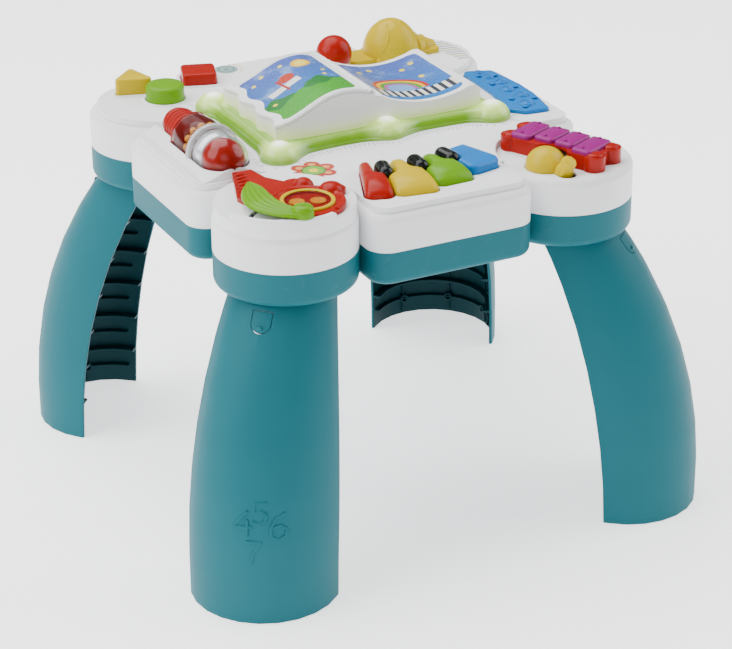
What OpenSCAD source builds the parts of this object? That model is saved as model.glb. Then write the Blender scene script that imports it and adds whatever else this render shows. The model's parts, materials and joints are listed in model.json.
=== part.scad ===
/* [Deck] */
// Distance from the middle to a corner lobe's centre, left to right
lobe_x = 150; // [146:1:154]
// Distance from the middle to a corner lobe's centre, front to back
lobe_y = 156; // [152:1:160]
// Radius of a corner lobe
lobe_r = 69; // [68:0.5:72]
// Half width of the bulge on the front edge
front_half = 87; // [84:1:92]
// Half width of the bulge on the back edge
back_half = 112; // [110:1:116]
// How far the side bulges lap over the lobes beside them
side_lap = 1; // [0.5:0.5:4]
// Reach of the front bulge from the middle
front_reach = 219; // [217:1:224]
// Reach of the back bulge from the middle
back_reach = 232; // [228:1:238]
// Reach of the side bulges from the middle
side_reach = 213; // [211:1:218]
// Corner radius of the bulges in plan
bulge_r = 22; // [18:1:26]
// Height of the coloured lower half of the deck
skirt_h = 34; // [30:1:44]
// Height of the white upper half up to its rim
rim_h = 36; // [36:1:44]
// Rise of the playing field above the rim
field_h = 6; // [4:0.5:8]
// Rise of the front left plateau above the playing field
plateau_h = 4; // [3.5:0.5:6]
// Radius of the front left plateau
plateau_r = 67; // [66:0.5:68]
// Radius of the low area on the front right lobe
low_r = 66; // [65:0.5:67]
// Wall of both deck shells
shell_t = 2.6; // [2:0.1:3]
// Edge rounding of the upper shell
rim_round = 8; // [6:0.5:9]
// Edge rounding of the lower shell
skirt_round = 8; // [6:0.5:10]
// Step from the rim in to the playing field
field_inset = 8; // [8:0.5:10]

/* [Legs] */
// Height of the legs, floor to deck
leg_h = 291; // [270:1:320]
// Distance from the middle to the outside of a foot
leg_spread = 360; // [350:1:370]
// Radius of the leg's inward bow
leg_bow_r = 427; // [415:1:470]
// Height where the bow starts
leg_bow_z = 30; // [20:1:40]
// Radius of the half tube at the foot
leg_foot_r = 73; // [70:0.5:76]
// Radius of the curve that narrows the leg
leg_taper_r = 1200; // [1150:10:1400]
// Height where the leg starts to narrow
leg_taper_z = 50; // [40:1:60]
// Wall of a leg
leg_t = 3.2; // [2.8:0.1:4]
// Wall of a leg at its collar under the deck
collar_t = 6.4; // [6:0.1:7]
// Length of the flat flanks at the top of a leg
flank = 17; // [14:0.5:20]
// Number of ribs across the inside of a leg
leg_ribs = 6; // [4:1:8]
// Depth of a rib
rib_depth = 8; // [5:0.5:12]
// Thickness of a rib
rib_t = 2.2; // [1.8:0.1:3]
// Length of the tongue that plugs a leg into the deck
plug_h = 20; // [15:1:24]
// Clearance round a plug
plug_gap = 0.3; // [0.2:0.05:0.5]
// Width of a release tab
tab_w = 19; // [14:1:22]
// Length of a release tab
tab_len = 21; // [16:1:22]
// Thickness of a release tab
tab_t = 2.6; // [2:0.1:3]
// Clearance round a release tab
tab_gap = 0.5; // [0.4:0.1:0.8]

/* [Fasteners] */
// Shank radius of the shell screws
screw_r = 1.5; // [1.3:0.1:1.8]
// Length of the shell screws
screw_len = 30; // [26:1:34]
// Shank radius of the small screws
small_screw_r = 1.1; // [0.9:0.1:1.3]
// Radius of the screw bosses
boss_r = 5.5; // [5:0.25:6.5]

/* [Buttons] */
// Side clearance of every button in its hole
button_gap = 0.5; // [0.3:0.05:0.7]
// Gap from a button's flange to the roof above it
seat_gap = 0.3; // [0.2:0.05:0.4]
// Width of a button's flange beyond its hole
flange_w = 1.8; // [1.4:0.1:2.4]
// Travel of the shape buttons
shape_travel = 3.5; // [2:0.25:4]
// Height of the triangle button above the field
triangle_h = 19; // [14:0.5:24]
// Corner distance of the triangle button from its centre
triangle_c = 17; // [15:0.5:18]
// Height of the round button above the field
circle_h = 18; // [14:0.5:24]
// Radius of the round button
circle_r = 20; // [17:0.5:21]
// Height of the square button above the field
square_h = 14; // [10:0.5:18]
// Side of the square button
square_w = 36; // [30:0.5:37]

/* [Keyboard] */
// Radius of the fan at the rear of the keys
key_rear_r = 166; // [164:0.5:168]
// Radius of the fan at the key pivots
key_pivot_r = 173; // [172:0.5:175]
// Height of the colour keys above the rim
key_h = 16; // [13:0.5:18]
// Gap between neighbouring keys
key_gap = 1; // [0.8:0.1:1.6]
// Radius of the key pins
key_pin_r = 1.5; // [1.2:0.1:1.8]
// Radius of the black keys
black_r = 8; // [7:0.25:8.5]
// Length of the black keys
black_len = 30; // [26:1:32]
// Height of the black keys above the colour keys
black_rise = 6; // [5:0.5:9]

/* [Book] */
// Reach of the book to the left of the middle
book_left = 102; // [98:1:104]
// Reach of the book to the right of the middle
book_right = 126; // [124:1:128]
// Reach of the book to the front
book_front = 33; // [31:1:34]
// Reach of the book to the back
book_back = 92; // [89:1:93]
// Hinge pin's distance right of the middle
spine_x = 3; // [1:0.5:5]
// Height of the hinge pin above the field
hinge_h = 44; // [42:0.5:48]
// Height of the crest of the leaf above the field
crest_h = 51; // [49:0.5:53]
// Height of the leaf's outer edge above the field
leaf_low_h = 27; // [25:0.5:30]
// Thickness of the leaf
leaf_t = 3; // [2.4:0.1:3.6]
// Wave of the leaf's outer edge
wave = 3; // [0:0.5:4]
// Radius of the hinge pin
hinge_pin_r = 1.5; // [1.2:0.1:1.8]
// Radius of the hinge barrel
barrel_r = 3.2; // [3:0.1:3.6]
// Height of the right page's lowest line above the field
dish_h = 24.5; // [22:0.5:26]
// Wall of the book
book_t = 2.4; // [2:0.1:3]

/* [Light frame] */
// Width of the frame round the book
frame_w = 8; // [7:0.5:9]
// Height of the frame above the field
frame_h = 10; // [8:0.5:11]
// Radius of the lamp domes
dome_r = 16; // [15:0.5:17]
// Radius of the stem below a lens
stem_r = 4; // [3.5:0.1:4.2]

/* [Roller] */
// Roller axis, distance left of the middle
roller_x = 165; // [164:0.5:167]
// Height of the roller's axis above the field
roller_h = 10; // [9.5:0.5:14]
// Outer radius of the clear shells
drum_r = 24; // [22:0.5:25]
// Wall of the clear shells
drum_t = 2; // [1.5:0.1:2.4]
// Outer radius of the fixed ring round the roller
yoke_r = 27; // [26:0.5:27]
// Radius of the axle
axle_r = 2.5; // [2:0.1:3]
// Radius of the ball in the front shell
ball_r = 19; // [15:0.5:20]
// Radius of the ribbed cap
cap_r = 16; // [13:0.5:18]
// Radius of the beads
bead_r = 4; // [3:0.25:5]

/* [Strummer] */
// Radius of the ring on the strummer plate
ring_r = 26; // [24:0.5:27]
// Width of the ring
ring_w = 4.5; // [3:0.5:6]
// Thickness of the strummer plate
plate_h = 4.5; // [4:0.25:5]
// Hub radius of the strum lever
hub_r = 10.5; // [8:0.5:10.5]
// Thickness of the strum lever's wing
wing_t = 5; // [3:0.5:6]
// Radius of the strum pivot
pivot_r = 2.5; // [2:0.1:3]

/* [Chimes] */
// Length of the chime frame
chime_len = 104; // [98:1:106]
// Width of the chime frame
chime_w = 46; // [42:1:48]
// Height of the chime frame
chime_h = 15; // [12:0.5:18]
// Number of chime bars
bars = 4; // [3:1:6]
// Length of a bar
bar_len = 42; // [36:1:44]
// Height of a bar above the frame
bar_h = 5; // [3:0.5:7]
// Radius of the mallet head
mallet_r = 20; // [17:0.5:20.5]

/* [Right side] */
// Height of the blue relief panel above the field
panel_h = 4; // [3.5:0.5:6]
// Radius of the horn's dome
horn_r = 31; // [28:0.5:32]
// Length of the horn's cone
horn_len = 52; // [48:1:54]
// Wall of the horn
horn_t = 2.5; // [2:0.1:3]
// Radius of the slider ball
slider_r = 19; // [16:0.5:19]
// Radius of the slider stem
slider_stem = 4; // [3:0.25:5]

/* [Electronics] */
// Radius of a battery
battery_r = 7.2; // [7:0.1:7.5]
// Length of a battery
battery_len = 50; // [48:0.5:52]
// Radius of the loudspeaker
speaker_r = 28; // [24:1:32]
// Thickness of the circuit boards
board_t = 1.6; // [1.2:0.1:2]

/* [Hidden] */
$fn = 64;
eps = 0.01;
// longer than any piece
endless = 600;

parting_z = leg_h + skirt_h;
rim_z = parting_z + rim_h;
side_half = lobe_y - lobe_r + side_lap;
field_z = rim_z + field_h;
plateau_z = field_z + plateau_h;
roof_z = field_z - shell_t;
low_roof_z = rim_z - shell_t;
floor_z = leg_h + shell_t;

teal = "#3f8c9b";
white = "#f4f4f6";
red = "#c8321f";
yellow = "#f0d832";
green = "#8cc832";
blue = "#4a98cf";
purple = "#b04fa5";
metal = "#b8bcc2";
board_green = "#2f6b3a";
clear = "#dfe8ec";

// ---------- shared shapes ----------

// the sides lie a hair inside the corner circles, so that they cut cleanly
hair = 0.002;
function side_points(p, r) = [for (i = [0:len(p) - 1])
  let (q = p[(i + 1) % len(p)], d = (q - p[i]) / norm(q - p[i]), n = (r - hair) * [d[1], -d[0]])
  each [p[i] + n, q + n]];

module rounded_polygon(p, r) {
  polygon(side_points(p, r));
  for (q = p) translate(q) circle(r);
}

module rounded_box(x, y, r) {
  a = x / 2 - r;
  b = y / 2 - r;
  rounded_polygon([[-a, -b], [a, -b], [a, b], [-a, b]], r);
}

module slab(z0, z1) translate([0, 0, z0]) linear_extrude(z1 - z0) children();

module tube(r_out, r_in, h) difference() {
  cylinder(r = r_out, h = h);
  translate([0, 0, -1]) cylinder(r = r_in, h = h + 2);
}

// turns +Z to +Y and puts the origin at height z on the roller's axis
module on_y(p) translate(p) rotate([-90, 0, 0]) children();

// ---------- deck outline ----------

module at_lobes() for (sx = [-1, 1], sy = [-1, 1]) translate([sx * lobe_x, sy * lobe_y, 0]) children();

module edge_profile(r, h, top, bottom) {
  square([r - max(top, bottom), h]);
  translate([0, bottom]) square([r, h - top - bottom]);
  if (top > 0) translate([r - top, h - top]) circle(top);
  if (bottom > 0) translate([r - bottom, bottom]) circle(bottom);
}

module bulge(half, reach, h, top, bottom) {
  w = half - bulge_r;
  d = reach - bulge_r;
  translate([-w, -d, 0]) cube([2 * w, d, h]);
  for (s = [-1, 1]) translate([s * w, -d, 0]) rotate_extrude() edge_profile(bulge_r, h, top, bottom);
  translate([w, 0, 0]) rotate([90, 0, 0]) linear_extrude(d) edge_profile(bulge_r, h, top, bottom);
  translate([-w, -d, 0]) rotate([90, 0, 180]) linear_extrude(d) edge_profile(bulge_r, h, top, bottom);
  translate([w, -d, 0]) rotate([90, 0, -90]) linear_extrude(2 * w) edge_profile(bulge_r, h, top, bottom);
}

module deck_slab(h, top, bottom) {
  at_lobes() rotate_extrude() edge_profile(lobe_r, h, top, bottom);
  translate([-lobe_x, -lobe_y, 0]) cube([2 * lobe_x, 2 * lobe_y, h]);
  bulge(front_half, front_reach, h, top, bottom);
  rotate(180) bulge(back_half, back_reach, h, top, bottom);
  for (a = [90, -90]) rotate(a) bulge(side_half, side_reach, h, top, bottom);
}

module half_box(half, reach, r) rounded_polygon(
  [[-half + r, -reach + r], [half - r, -reach + r], [half - r, -r], [-half + r, -r]], r);

module deck_plan(inset) {
  r = bulge_r - inset;
  at_lobes() circle(lobe_r - inset);
  square([2 * lobe_x, 2 * lobe_y], center = true);
  half_box(front_half - inset, front_reach - inset, r);
  rotate(180) half_box(back_half - inset, back_reach - inset, r);
  for (a = [90, -90]) rotate(a) half_box(side_half - inset, side_reach - inset, r);
}

module field_plan(inset) difference() {
  deck_plan(inset);
  translate([lobe_x, -lobe_y]) circle(low_r + inset - field_inset);
}

// ---------- legs ----------

leg_seg = 12;
leg_foot_flank = 4;
rib_slope = 0.8;

function crest(z) = leg_spread
  - (z > leg_bow_z ? leg_bow_r - sqrt(leg_bow_r ^ 2 - (z - leg_bow_z) ^ 2) : 0);
function leg_r(z) = leg_foot_r
  - (z > leg_taper_z ? leg_taper_r - sqrt(leg_taper_r ^ 2 - (z - leg_taper_z) ^ 2) : 0);
function leg_c(z) = crest(z) - leg_r(z);
function flank_at(z) = leg_foot_flank + (flank - leg_foot_flank) * z / leg_h;

function half_ring(c, r, e, z) = concat([[c - e, -r, z]],
  [for (i = [0:leg_seg]) let (a = -90 + 180 * i / leg_seg) [c + r * cos(a), r * sin(a), z]],
  [[c - e, r, z]]);

function reversed(p) = [for (i = [len(p) - 1:-1:0]) p[i]];

function leg_ring(z, t) = concat(half_ring(leg_c(z), leg_r(z), flank_at(z), z),
  reversed(half_ring(leg_c(z), leg_r(z) - t, flank_at(z), z)));

collar_drop = 22;
rib_pitch = (leg_h - collar_drop) / (leg_ribs + 0.5);
function rib_rings(k) = let (z = k * rib_pitch) [
  [z - rib_t / 2 - rib_slope, leg_t], [z - rib_t / 2, leg_t + rib_depth],
  [z + rib_t / 2, leg_t + rib_depth], [z + rib_t / 2 + rib_slope, leg_t]];
leg_levels = concat([[0, leg_t]], [for (k = [1:leg_ribs]) each rib_rings(k)],
  [[leg_h - collar_drop, leg_t], [leg_h - collar_drop + 5, collar_t], [leg_h - eps, collar_t]]);

module leg_shell() {
  rings = [for (v = leg_levels) leg_ring(v[0], v[1])];
  m = len(rings[0]);
  n = len(rings);
  side = [for (k = [0:n - 2], j = [0:m - 1]) let (j2 = (j + 1) % m, a = k * m, b = a + m)
    each [[a + j, b + j, b + j2], [a + j, b + j2, a + j2]]];
  cap = [for (i = [0:m / 2 - 2]) [i, i + 1, m - 2 - i, m - 1 - i]];
  polyhedron(points = [for (r = rings) each r], faces = concat(side, cap,
    [for (f = cap) [for (i = reversed(f)) i + (n - 1) * m]]), convexity = 6);
}

plug_out = leg_r(leg_h) - 1.2;
plug_in = leg_r(leg_h) - collar_t + 1.2;

module plug_plan(gap, far) translate([leg_c(leg_h), 0]) {
  difference() {
    circle(plug_out + gap);
    circle(plug_in - gap);
    translate([-2 * leg_foot_r, -leg_foot_r]) square(2 * leg_foot_r);
  }
  for (s = [-1, 1]) translate([-far / 2, s * (plug_out + plug_in) / 2])
    square([far, plug_out - plug_in + 2 * gap], center = true);
}

tab_top_z = leg_h - 6;
tab_slope = asin((tab_top_z - leg_bow_z) / leg_bow_r);
tab_face_r = leg_r(tab_top_z) / cos(tab_slope);

// local frame on the leg's outer face: +X out of the face, +Z up along it
module at_tab() translate([crest(tab_top_z), 0, tab_top_z]) rotate([0, -tab_slope, 0]) children();

module tab_outline(grow, depth) translate([-depth, 0, 0]) rotate([90, 0, 90])
  linear_extrude(depth + 3) {
    r = tab_w / 2 + grow;
    translate([0, -tab_len + tab_w / 2]) circle(r);
    translate([-r, -tab_len + tab_w / 2]) square([2 * r, tab_len - tab_w / 2 + grow]);
  }

module leg() color(teal) difference() {
  union() {
    leg_shell();
    slab(leg_h - 6, leg_h + plug_h) plug_plan(0, flank - 3);
  }
  at_tab() tab_outline(tab_gap, collar_t + 8);
}

module leg_tab() color(teal) at_tab() intersection() {
  tab_outline(0, 20);
  translate([-tab_face_r - 0.2, 0, -tab_len - 5]) tube(tab_face_r, tab_face_r - tab_t, tab_len + 10);
}

// local +X points along the diagonal to a corner
module at_leg(i) {
  sx = i % 2 == 0 ? -1 : 1;
  sy = i < 2 ? -1 : 1;
  translate([0, sy * (lobe_y - lobe_x), 0]) rotate(atan2(sy, sx)) children();
}

// ---------- shell screws ----------

screw_spots = [[-112, -112], [112, -112], [-118, 118], [112, 112], [-128, 0], [140, 0], [0, -95],
  [0, 205]];
boss_top_z = leg_h + 24;
head_seat_z = leg_h + 8;
head_r = 2 * screw_r;
head_h = 1.6 * screw_r;
screw_tip_z = head_seat_z + screw_len;

module shell_bosses() for (p = screw_spots) translate([p[0], p[1], leg_h]) cylinder(r = boss_r, h = boss_top_z - leg_h);

module shell_screw_holes() for (p = screw_spots) translate([p[0], p[1], 0]) {
  translate([0, 0, leg_h - 1]) cylinder(r = head_r + 0.4, h = head_seat_z - leg_h + 1);
  cylinder(r = screw_r + 0.25, h = boss_top_z + 1);
}

// height of the shell above a point of the deck
function surface_z(p) = norm([p[0] - lobe_x, p[1] + lobe_y]) < low_r ? rim_z
  : norm([p[0] + lobe_x, p[1] + lobe_y]) < plateau_r - rim_round ? plateau_z : field_z;

module shell_posts() for (p = screw_spots) translate([p[0], p[1], boss_top_z])
  cylinder(r = boss_r - 0.8, h = surface_z(p) - shell_t / 2 - boss_top_z);

module shell_post_holes() for (p = screw_spots) translate([p[0], p[1], boss_top_z - 1])
  cylinder(r = screw_r, h = screw_tip_z - boss_top_z + 2);

module shell_screws() color(metal) for (p = screw_spots) translate([p[0], p[1], head_seat_z]) {
  translate([0, 0, -head_h]) cylinder(r = head_r, h = head_h);
  translate([0, 0, -eps]) cylinder(r = screw_r, h = screw_len);
}

// ---------- buttons ----------

triangle_at = [-161, 193];
triangle_turn = 74;
triangle_round = 4;
circle_at = [-140, 156];
square_at = [-87, 192];
square_turn = -18;
square_round = 5;
flange_t = 3;
mallet_at = [120, -174];
stub_at = [127, -202];
stub_r = 9;
stub_h = 14;
mallet_travel = 3;
panel_travel = 2.5;
panel_round = 6;
panel_left = book_right + frame_w + 26;
panel_right = side_reach - 16;
panel_w = panel_right - panel_left;
panel_mid = (panel_left + panel_right) / 2;
panel_in = 0.316 * panel_w;
panel_back = side_half - field_inset - panel_round - 1;
panel_tabs = [[panel_left - 3, -30], [panel_right - 3, -40], [panel_left + 7, 60], [panel_right - 2, 62]];
panel_tab_r = 5;
mark_step = 9;

module triangle_plan(grow) translate(triangle_at) rounded_polygon(
  [for (a = [0, 120, 240]) triangle_c * [cos(a + triangle_turn), sin(a + triangle_turn)]],
  triangle_round + grow);

module circle_plan(grow) translate(circle_at) circle(circle_r + grow);

module square_plan(grow) translate(square_at) rotate(square_turn)
  rounded_box(square_w + 2 * grow, square_w + 2 * grow, square_round + grow);

module mallet_plan(grow) {
  translate(mallet_at) circle(mallet_r + grow);
  translate(stub_at) circle(stub_r + grow);
}

module panel_plan(grow) {
  rounded_polygon([[panel_left + panel_in, -4], [panel_right - 1, -12], [panel_right, 18],
    [panel_right - 5, panel_back - 7], [panel_left + panel_in, panel_back]], panel_round + grow);
  rounded_polygon([[panel_left, -40], [panel_left + panel_in - 2, -50], [panel_right - 8, -52],
    [panel_right, -8], [panel_left + panel_in, 2]], panel_round + grow);
}

module shape_plans(grow) {
  triangle_plan(grow);
  circle_plan(grow);
  square_plan(grow);
}

// how deep a button's foot reaches when it is pressed
function button_depth(roof, travel) = roof - flange_t - travel - 2 * seat_gap;

// a button: its cap through the roof and the flange that keeps it in
module button_body(roof, top) {
  slab(roof - seat_gap - flange_t, roof + 1) children(1);
  slab(roof - seat_gap - flange_t, roof - seat_gap) children(0);
  slab(roof, top) children(1);
}

// keeps a flange inside the walls under the playing field
module under_field() intersection() {
  children();
  field_plan(field_inset + shell_t + seat_gap);
}

module triangle_button() color(yellow) button_body(roof_z, field_z + triangle_h) {
  under_field() difference() {
    triangle_plan(button_gap + flange_w);
    circle_plan(2 * button_gap);
  }
  triangle_plan(0);
}

module circle_button() color(green) button_body(roof_z, field_z + circle_h) {
  difference() {
    circle_plan(button_gap + flange_w);
    triangle_plan(button_gap + flange_w + seat_gap);
  }
  circle_plan(0);
}

module square_button() color(red) button_body(roof_z, field_z + square_h) {
  under_field() square_plan(button_gap + flange_w);
  square_plan(0);
}

module relief_panel() color(blue) {
  slab(roof_z - seat_gap - flange_t, field_z + panel_h) panel_plan(-button_gap / 2);
  for (p = panel_tabs) slab(roof_z - seat_gap - flange_t, roof_z - seat_gap) translate(p) circle(panel_tab_r);
  relief_marks();
}

// raised rings and drops on the panel
module relief_marks() for (i = [0:5]) {
  p = [panel_mid + 3 - 3 * (i % 2) + (i > 3 ? 2 : 0), -38 + 20 * i];
  translate([p[0], p[1], field_z + panel_h - 1]) tube(7 - i / 2, 4 - i / 2, 2.5);
  translate([p[0] + mark_step * (i % 2 == 0 ? 1 : -1), p[1] + mark_step, field_z + panel_h - 1]) cylinder(r1 = 3, r2 = 1.6, h = 3);
}

module mallet_button() color(yellow) {
  button_body(low_roof_z, rim_z + 1) {
    intersection() {
      mallet_plan(button_gap + flange_w);
      translate([lobe_x, -lobe_y]) circle(lobe_r - rim_round - shell_t / 2 - seat_gap);
    }
    mallet_plan(0);
  }
  translate([0, 0, rim_z]) {
    intersection() {
      translate(mallet_at) sphere(mallet_r, $fn = 64);
      slab(0, mallet_r + 1) mallet_plan(1);
    }
    translate(stub_at) cylinder(r1 = stub_r, r2 = stub_r - 3.5, h = stub_h);
  }
}

// ---------- keyboard ----------

fan_at = [7, 40];
key_edges = [-21.3, -14.2, -3, 8, 18.5];
key_fronts = [239, 237, 227, 218];
key_colors = [red, yellow, green, blue];
key_round = 9;
key_nose_drop = 5;
key_under_h = 4;
key_lug_r = 3.6;
key_lug_w = 6;
red_pin_turn = 2.4;
key_travel = 3;
pin_gap = 0.05;
black_rs = [186, 181, 178];
black_travel = 2.5;
black_gap = 1.2;
pocket_gap = 1;
pocket_floor_z = rim_z - 10;
key_pin_z = rim_z - 3;
key_under_z = key_pin_z + key_lug_r + 1;

function fan(r, a) = fan_at + r * [sin(a), -cos(a)];
function key_mid(i) = (key_edges[i] + key_edges[i + 1]) / 2;

// one key's sector, its nose corners rounded
module key_plan(i, grow) {
  f = key_fronts[i];
  a0 = key_edges[i];
  a1 = key_edges[i + 1];
  s0 = (key_gap / 2 + key_round) / f * 180 / PI;
  s1 = (key_gap / 2 + key_round) / key_rear_r * 180 / PI;
  rounded_polygon([fan(f - key_round, a0 + s0), fan(f - key_round, a1 - s0),
    fan(key_rear_r + key_round, a1 - s1), fan(key_rear_r + key_round, a0 + s1)], key_round + grow);
}

// the red key's pin sits nearer its outer edge, clear of the black key beside it
function pin_turn(i) = i == 0 ? key_edges[0] + red_pin_turn : key_mid(i);

module at_key_pin(i) translate(fan(key_pivot_r, pin_turn(i))) rotate(pin_turn(i)) children();

module black_plan(i, grow) translate(fan(black_rs[i], key_edges[i + 1])) rotate(key_edges[i + 1] + 90)
  rounded_box(black_len + 2 * grow, 2 * black_r + 2 * grow, black_r + grow - eps);

module piano_key(i) color(key_colors[i]) difference() {
  union() {
    slab(key_under_z, rim_z + key_h) key_plan(i, 0);
    slab(rim_z - key_nose_drop, key_under_z + 1) intersection() {
      key_plan(i, 0);
      translate(fan_at) difference() {
        circle(key_fronts[i] + 20);
        circle(key_pivot_r + 14);
      }
    }
    translate([0, 0, key_pin_z]) at_key_pin(i) {
      rotate([90, 0, 90]) translate([0, 0, -key_lug_w / 2]) cylinder(r = key_lug_r, h = key_lug_w);
      translate([-key_lug_w / 2, -key_lug_r, 0]) cube([key_lug_w, 2 * key_lug_r, key_lug_r + 2]);
    }
  }
  translate([0, 0, key_pin_z]) at_key_pin(i) rotate([90, 0, 90]) translate([0, 0, -key_lug_w])
    cylinder(r = key_pin_r + pin_gap, h = 2 * key_lug_w);
  for (b = [i - 1, i]) if (b >= 0 && b < 3) slab(pocket_floor_z, rim_z + key_h + 1) black_plan(b, black_gap);
}

pin_lug_t = 2;
pin_len = key_lug_w + 2 * (pin_lug_t + button_gap);

module key_pins() color(metal) for (i = [0:3]) translate([0, 0, key_pin_z]) at_key_pin(i)
  rotate([90, 0, 90]) translate([0, 0, -pin_len / 2]) cylinder(r = key_pin_r, h = pin_len);

module key_lugs() for (i = [0:3]) translate([0, 0, key_pin_z]) at_key_pin(i) for (s = [-1, 1]) difference() {
  translate([s * (key_lug_w + pin_lug_t + 2 * button_gap) / 2, 0, 0]) {
    rotate([90, 0, 90]) translate([0, 0, -pin_lug_t / 2]) cylinder(r = key_lug_r, h = pin_lug_t);
    translate([-pin_lug_t / 2, -key_lug_r, pocket_floor_z - key_pin_z - 1])
      cube([pin_lug_t, 2 * key_lug_r, key_pin_z - pocket_floor_z + 1]);
  }
  rotate([90, 0, 90]) translate([0, 0, -key_lug_w * 2]) cylinder(r = key_pin_r, h = key_lug_w * 4);
}

module keyboard_plan(grow) {
  for (i = [0:3]) key_plan(i, grow);
  for (i = [0:2]) {
    black_plan(i, grow);
    translate(fan(key_rear_r + 40, key_edges[i + 1])) circle(12);
    translate(fan(key_rear_r + 24, key_edges[i + 1])) circle(12);
  }
}

module black_key(i) color("#141416") {
  top = rim_z + key_h + black_rise;
  slab(pocket_floor_z + black_travel + 1, top - black_r / 2) black_plan(i, 0);
  translate([0, 0, top - black_r / 2]) translate(fan(black_rs[i], key_edges[i + 1])) rotate(key_edges[i + 1] + 90)
    intersection() {
      translate([-black_len, -black_len, 0]) cube([2 * black_len, 2 * black_len, black_r]);
      translate([0, 0, -black_r / 2]) union() {
        a = black_len / 2 - black_r;
        rotate([0, 90, 0]) translate([0, 0, -a]) cylinder(r = black_r, h = 2 * a);
        for (s = [-a, a]) translate([s, 0, 0]) sphere(black_r, $fn = 64);
      }
    }
}

// ---------- roller pocket ----------

roller_z = field_z + roller_h;
front_shell_y = -50;
ring_y = -23;
yoke_half = 3;
shell_gap = 0.5;
rear_end_y = 22;
cap_end_y = 72;
cap_dome = 10;
cap_flange = 3;
post_y = 73;
post_t = 4;
groove_r = 1.5;
channel_half = yoke_r + 1.5;
channel_y0 = front_shell_y - drum_r - 2.5;
channel_y1 = post_y;
channel_floor_z = roller_z - yoke_r;
axle_y0 = front_shell_y - ball_r + 3;
axle_y1 = post_y + post_t;

module channel_plan(grow) translate([-roller_x, (channel_y0 + channel_y1) / 2])
  rounded_box(2 * channel_half + 2 * grow, channel_y1 - channel_y0 + 2 * grow, 6 + grow);

module on_roller(y) on_y([-roller_x, y, roller_z]) children();

module roller_post() difference() {
  translate([-roller_x - 6, post_y, field_z - 2]) cube([12, post_t, roller_h + 8]);
  on_roller(post_y - 1) cylinder(r = axle_r + pin_gap, h = post_t + 2);
}

// ---------- strummer ----------

hub_at = [-157.5, -211.5];
ring_at = [-137, -178];
slot_ring = 50;
slot_half = 2.2;
guide_r = 1.6;
guide_turn = 135;
slot_from = 106;
slot_to = 144;
wing_z = plateau_z + plate_h + 3;
wing_points = [[-6, -7], [-27, 10], [-39, 36], [-29, 66], [-16, 82], [-11, 82], [-9, 74], [-11, 34], [2, 9]];
wing_round = 2.5;
pivot_top_z = wing_z + wing_t - 3;
pivot_head_h = 2;

module slot_plan(grow) translate(hub_at) {
  difference() {
    circle(slot_ring + slot_half);
    circle(slot_ring - slot_half);
    rotate(slot_from) translate([-endless, -endless]) square([2 * endless, endless]);
    rotate(slot_to) translate([-endless, 0]) square([2 * endless, endless]);
  }
}

plate_bout_r = 36;
plate_horn_r = 13;
module strum_plate_plan() {
  translate(ring_at) circle(plate_bout_r);
  translate([-128, -134]) circle(plate_horn_r);
  translate([-103, -160]) circle(plate_horn_r);
  polygon([[-170, -81], [-151, -82], [-147, -106], [-138, -120], [-128, -134], [-136, -160], [-165, -158],
    [-189, -150], [-191, -140]]);
  polygon([[-128, -134], [-103, -160], [-120, -176], [-140, -160]]);
}

window_r = ring_r - 2;
well_r = ring_r - ring_w - 0.5;
window_t = 1.2;
ring_h = 2.4;
well_depth = 3;
plate_top_z = plateau_z + plate_h;

module strum_plate() color(red) difference() {
  union() {
    slab(plateau_z, plate_top_z) strum_plate_plan();
    slab(field_z, plateau_z + eps) difference() {
      strum_plate_plan();
      translate([-lobe_x, -lobe_y]) circle(plateau_r + seat_gap);
    }
  }
  translate([ring_at[0], ring_at[1], plate_top_z - well_depth]) cylinder(r = well_r, h = well_depth + 1);
  translate([0, 0, plate_top_z - 1]) for (k = [0:8]) translate([-186 + 0.9 * k, -146 + 8 * k, 0]) rotate(-68)
    translate([0, 0, 1]) rotate([-90, 0, 0]) cylinder(r = 1, h = 14);
  translate([hub_at[0], hub_at[1], plateau_z - 1]) cylinder(r = hub_r + 1, h = plate_h + 2);
}

module strum_ring() color(yellow) translate([ring_at[0], ring_at[1], plate_top_z]) difference() {
  cylinder(r = ring_r, h = ring_h);
  translate([0, 0, -1]) cylinder(r = ring_r - ring_w, h = ring_h + 2);
  translate([0, 0, -1]) cylinder(r = window_r + 0.1, h = window_t + 1);
}

module strum_window() color(clear) translate([ring_at[0], ring_at[1], plate_top_z]) cylinder(r = window_r, h = window_t);

module strum_discs() color("#f2a73c") for (s = [-1, 1])
  translate([ring_at[0] + s * 9.5, ring_at[1] - s * 3, plate_top_z - well_depth]) cylinder(r = 7.5, h = 1.6);

module strum_lever() color(green) difference() {
  union() {
    translate([hub_at[0], hub_at[1], plateau_z + seat_gap]) cylinder(r = hub_r, h = wing_z + wing_t - plateau_z - seat_gap);
    slab(wing_z, wing_z + wing_t) translate(hub_at) {
      polygon(wing_points);
      for (p = wing_points) translate(p) circle(wing_round);
    }
    translate([hub_at[0], hub_at[1], 0]) rotate(guide_turn) translate([slot_ring, 0, field_z - 1])
      cylinder(r = guide_r, h = wing_z - field_z + 2);
  }
  translate([hub_at[0], hub_at[1], plateau_z - 1]) cylinder(r = pivot_r + pin_gap, h = pivot_top_z - plateau_z + 1.5);
  for (k = [0:3]) translate([hub_at[0], hub_at[1], wing_z + wing_t]) rotate(146 - 11 * k)
    translate([24, 0, 0.6]) rotate([0, 90, 0]) cylinder(r = 1.2, h = 40);
}

module strum_screw() color(metal) translate([hub_at[0], hub_at[1], plateau_z - shell_t]) {
  translate([0, 0, -pivot_head_h]) cylinder(r = pivot_r + 0.9, h = pivot_head_h);
  translate([0, 0, -eps]) cylinder(r = pivot_r, h = pivot_top_z - plateau_z + shell_t);
}

// ---------- slider ----------

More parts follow.
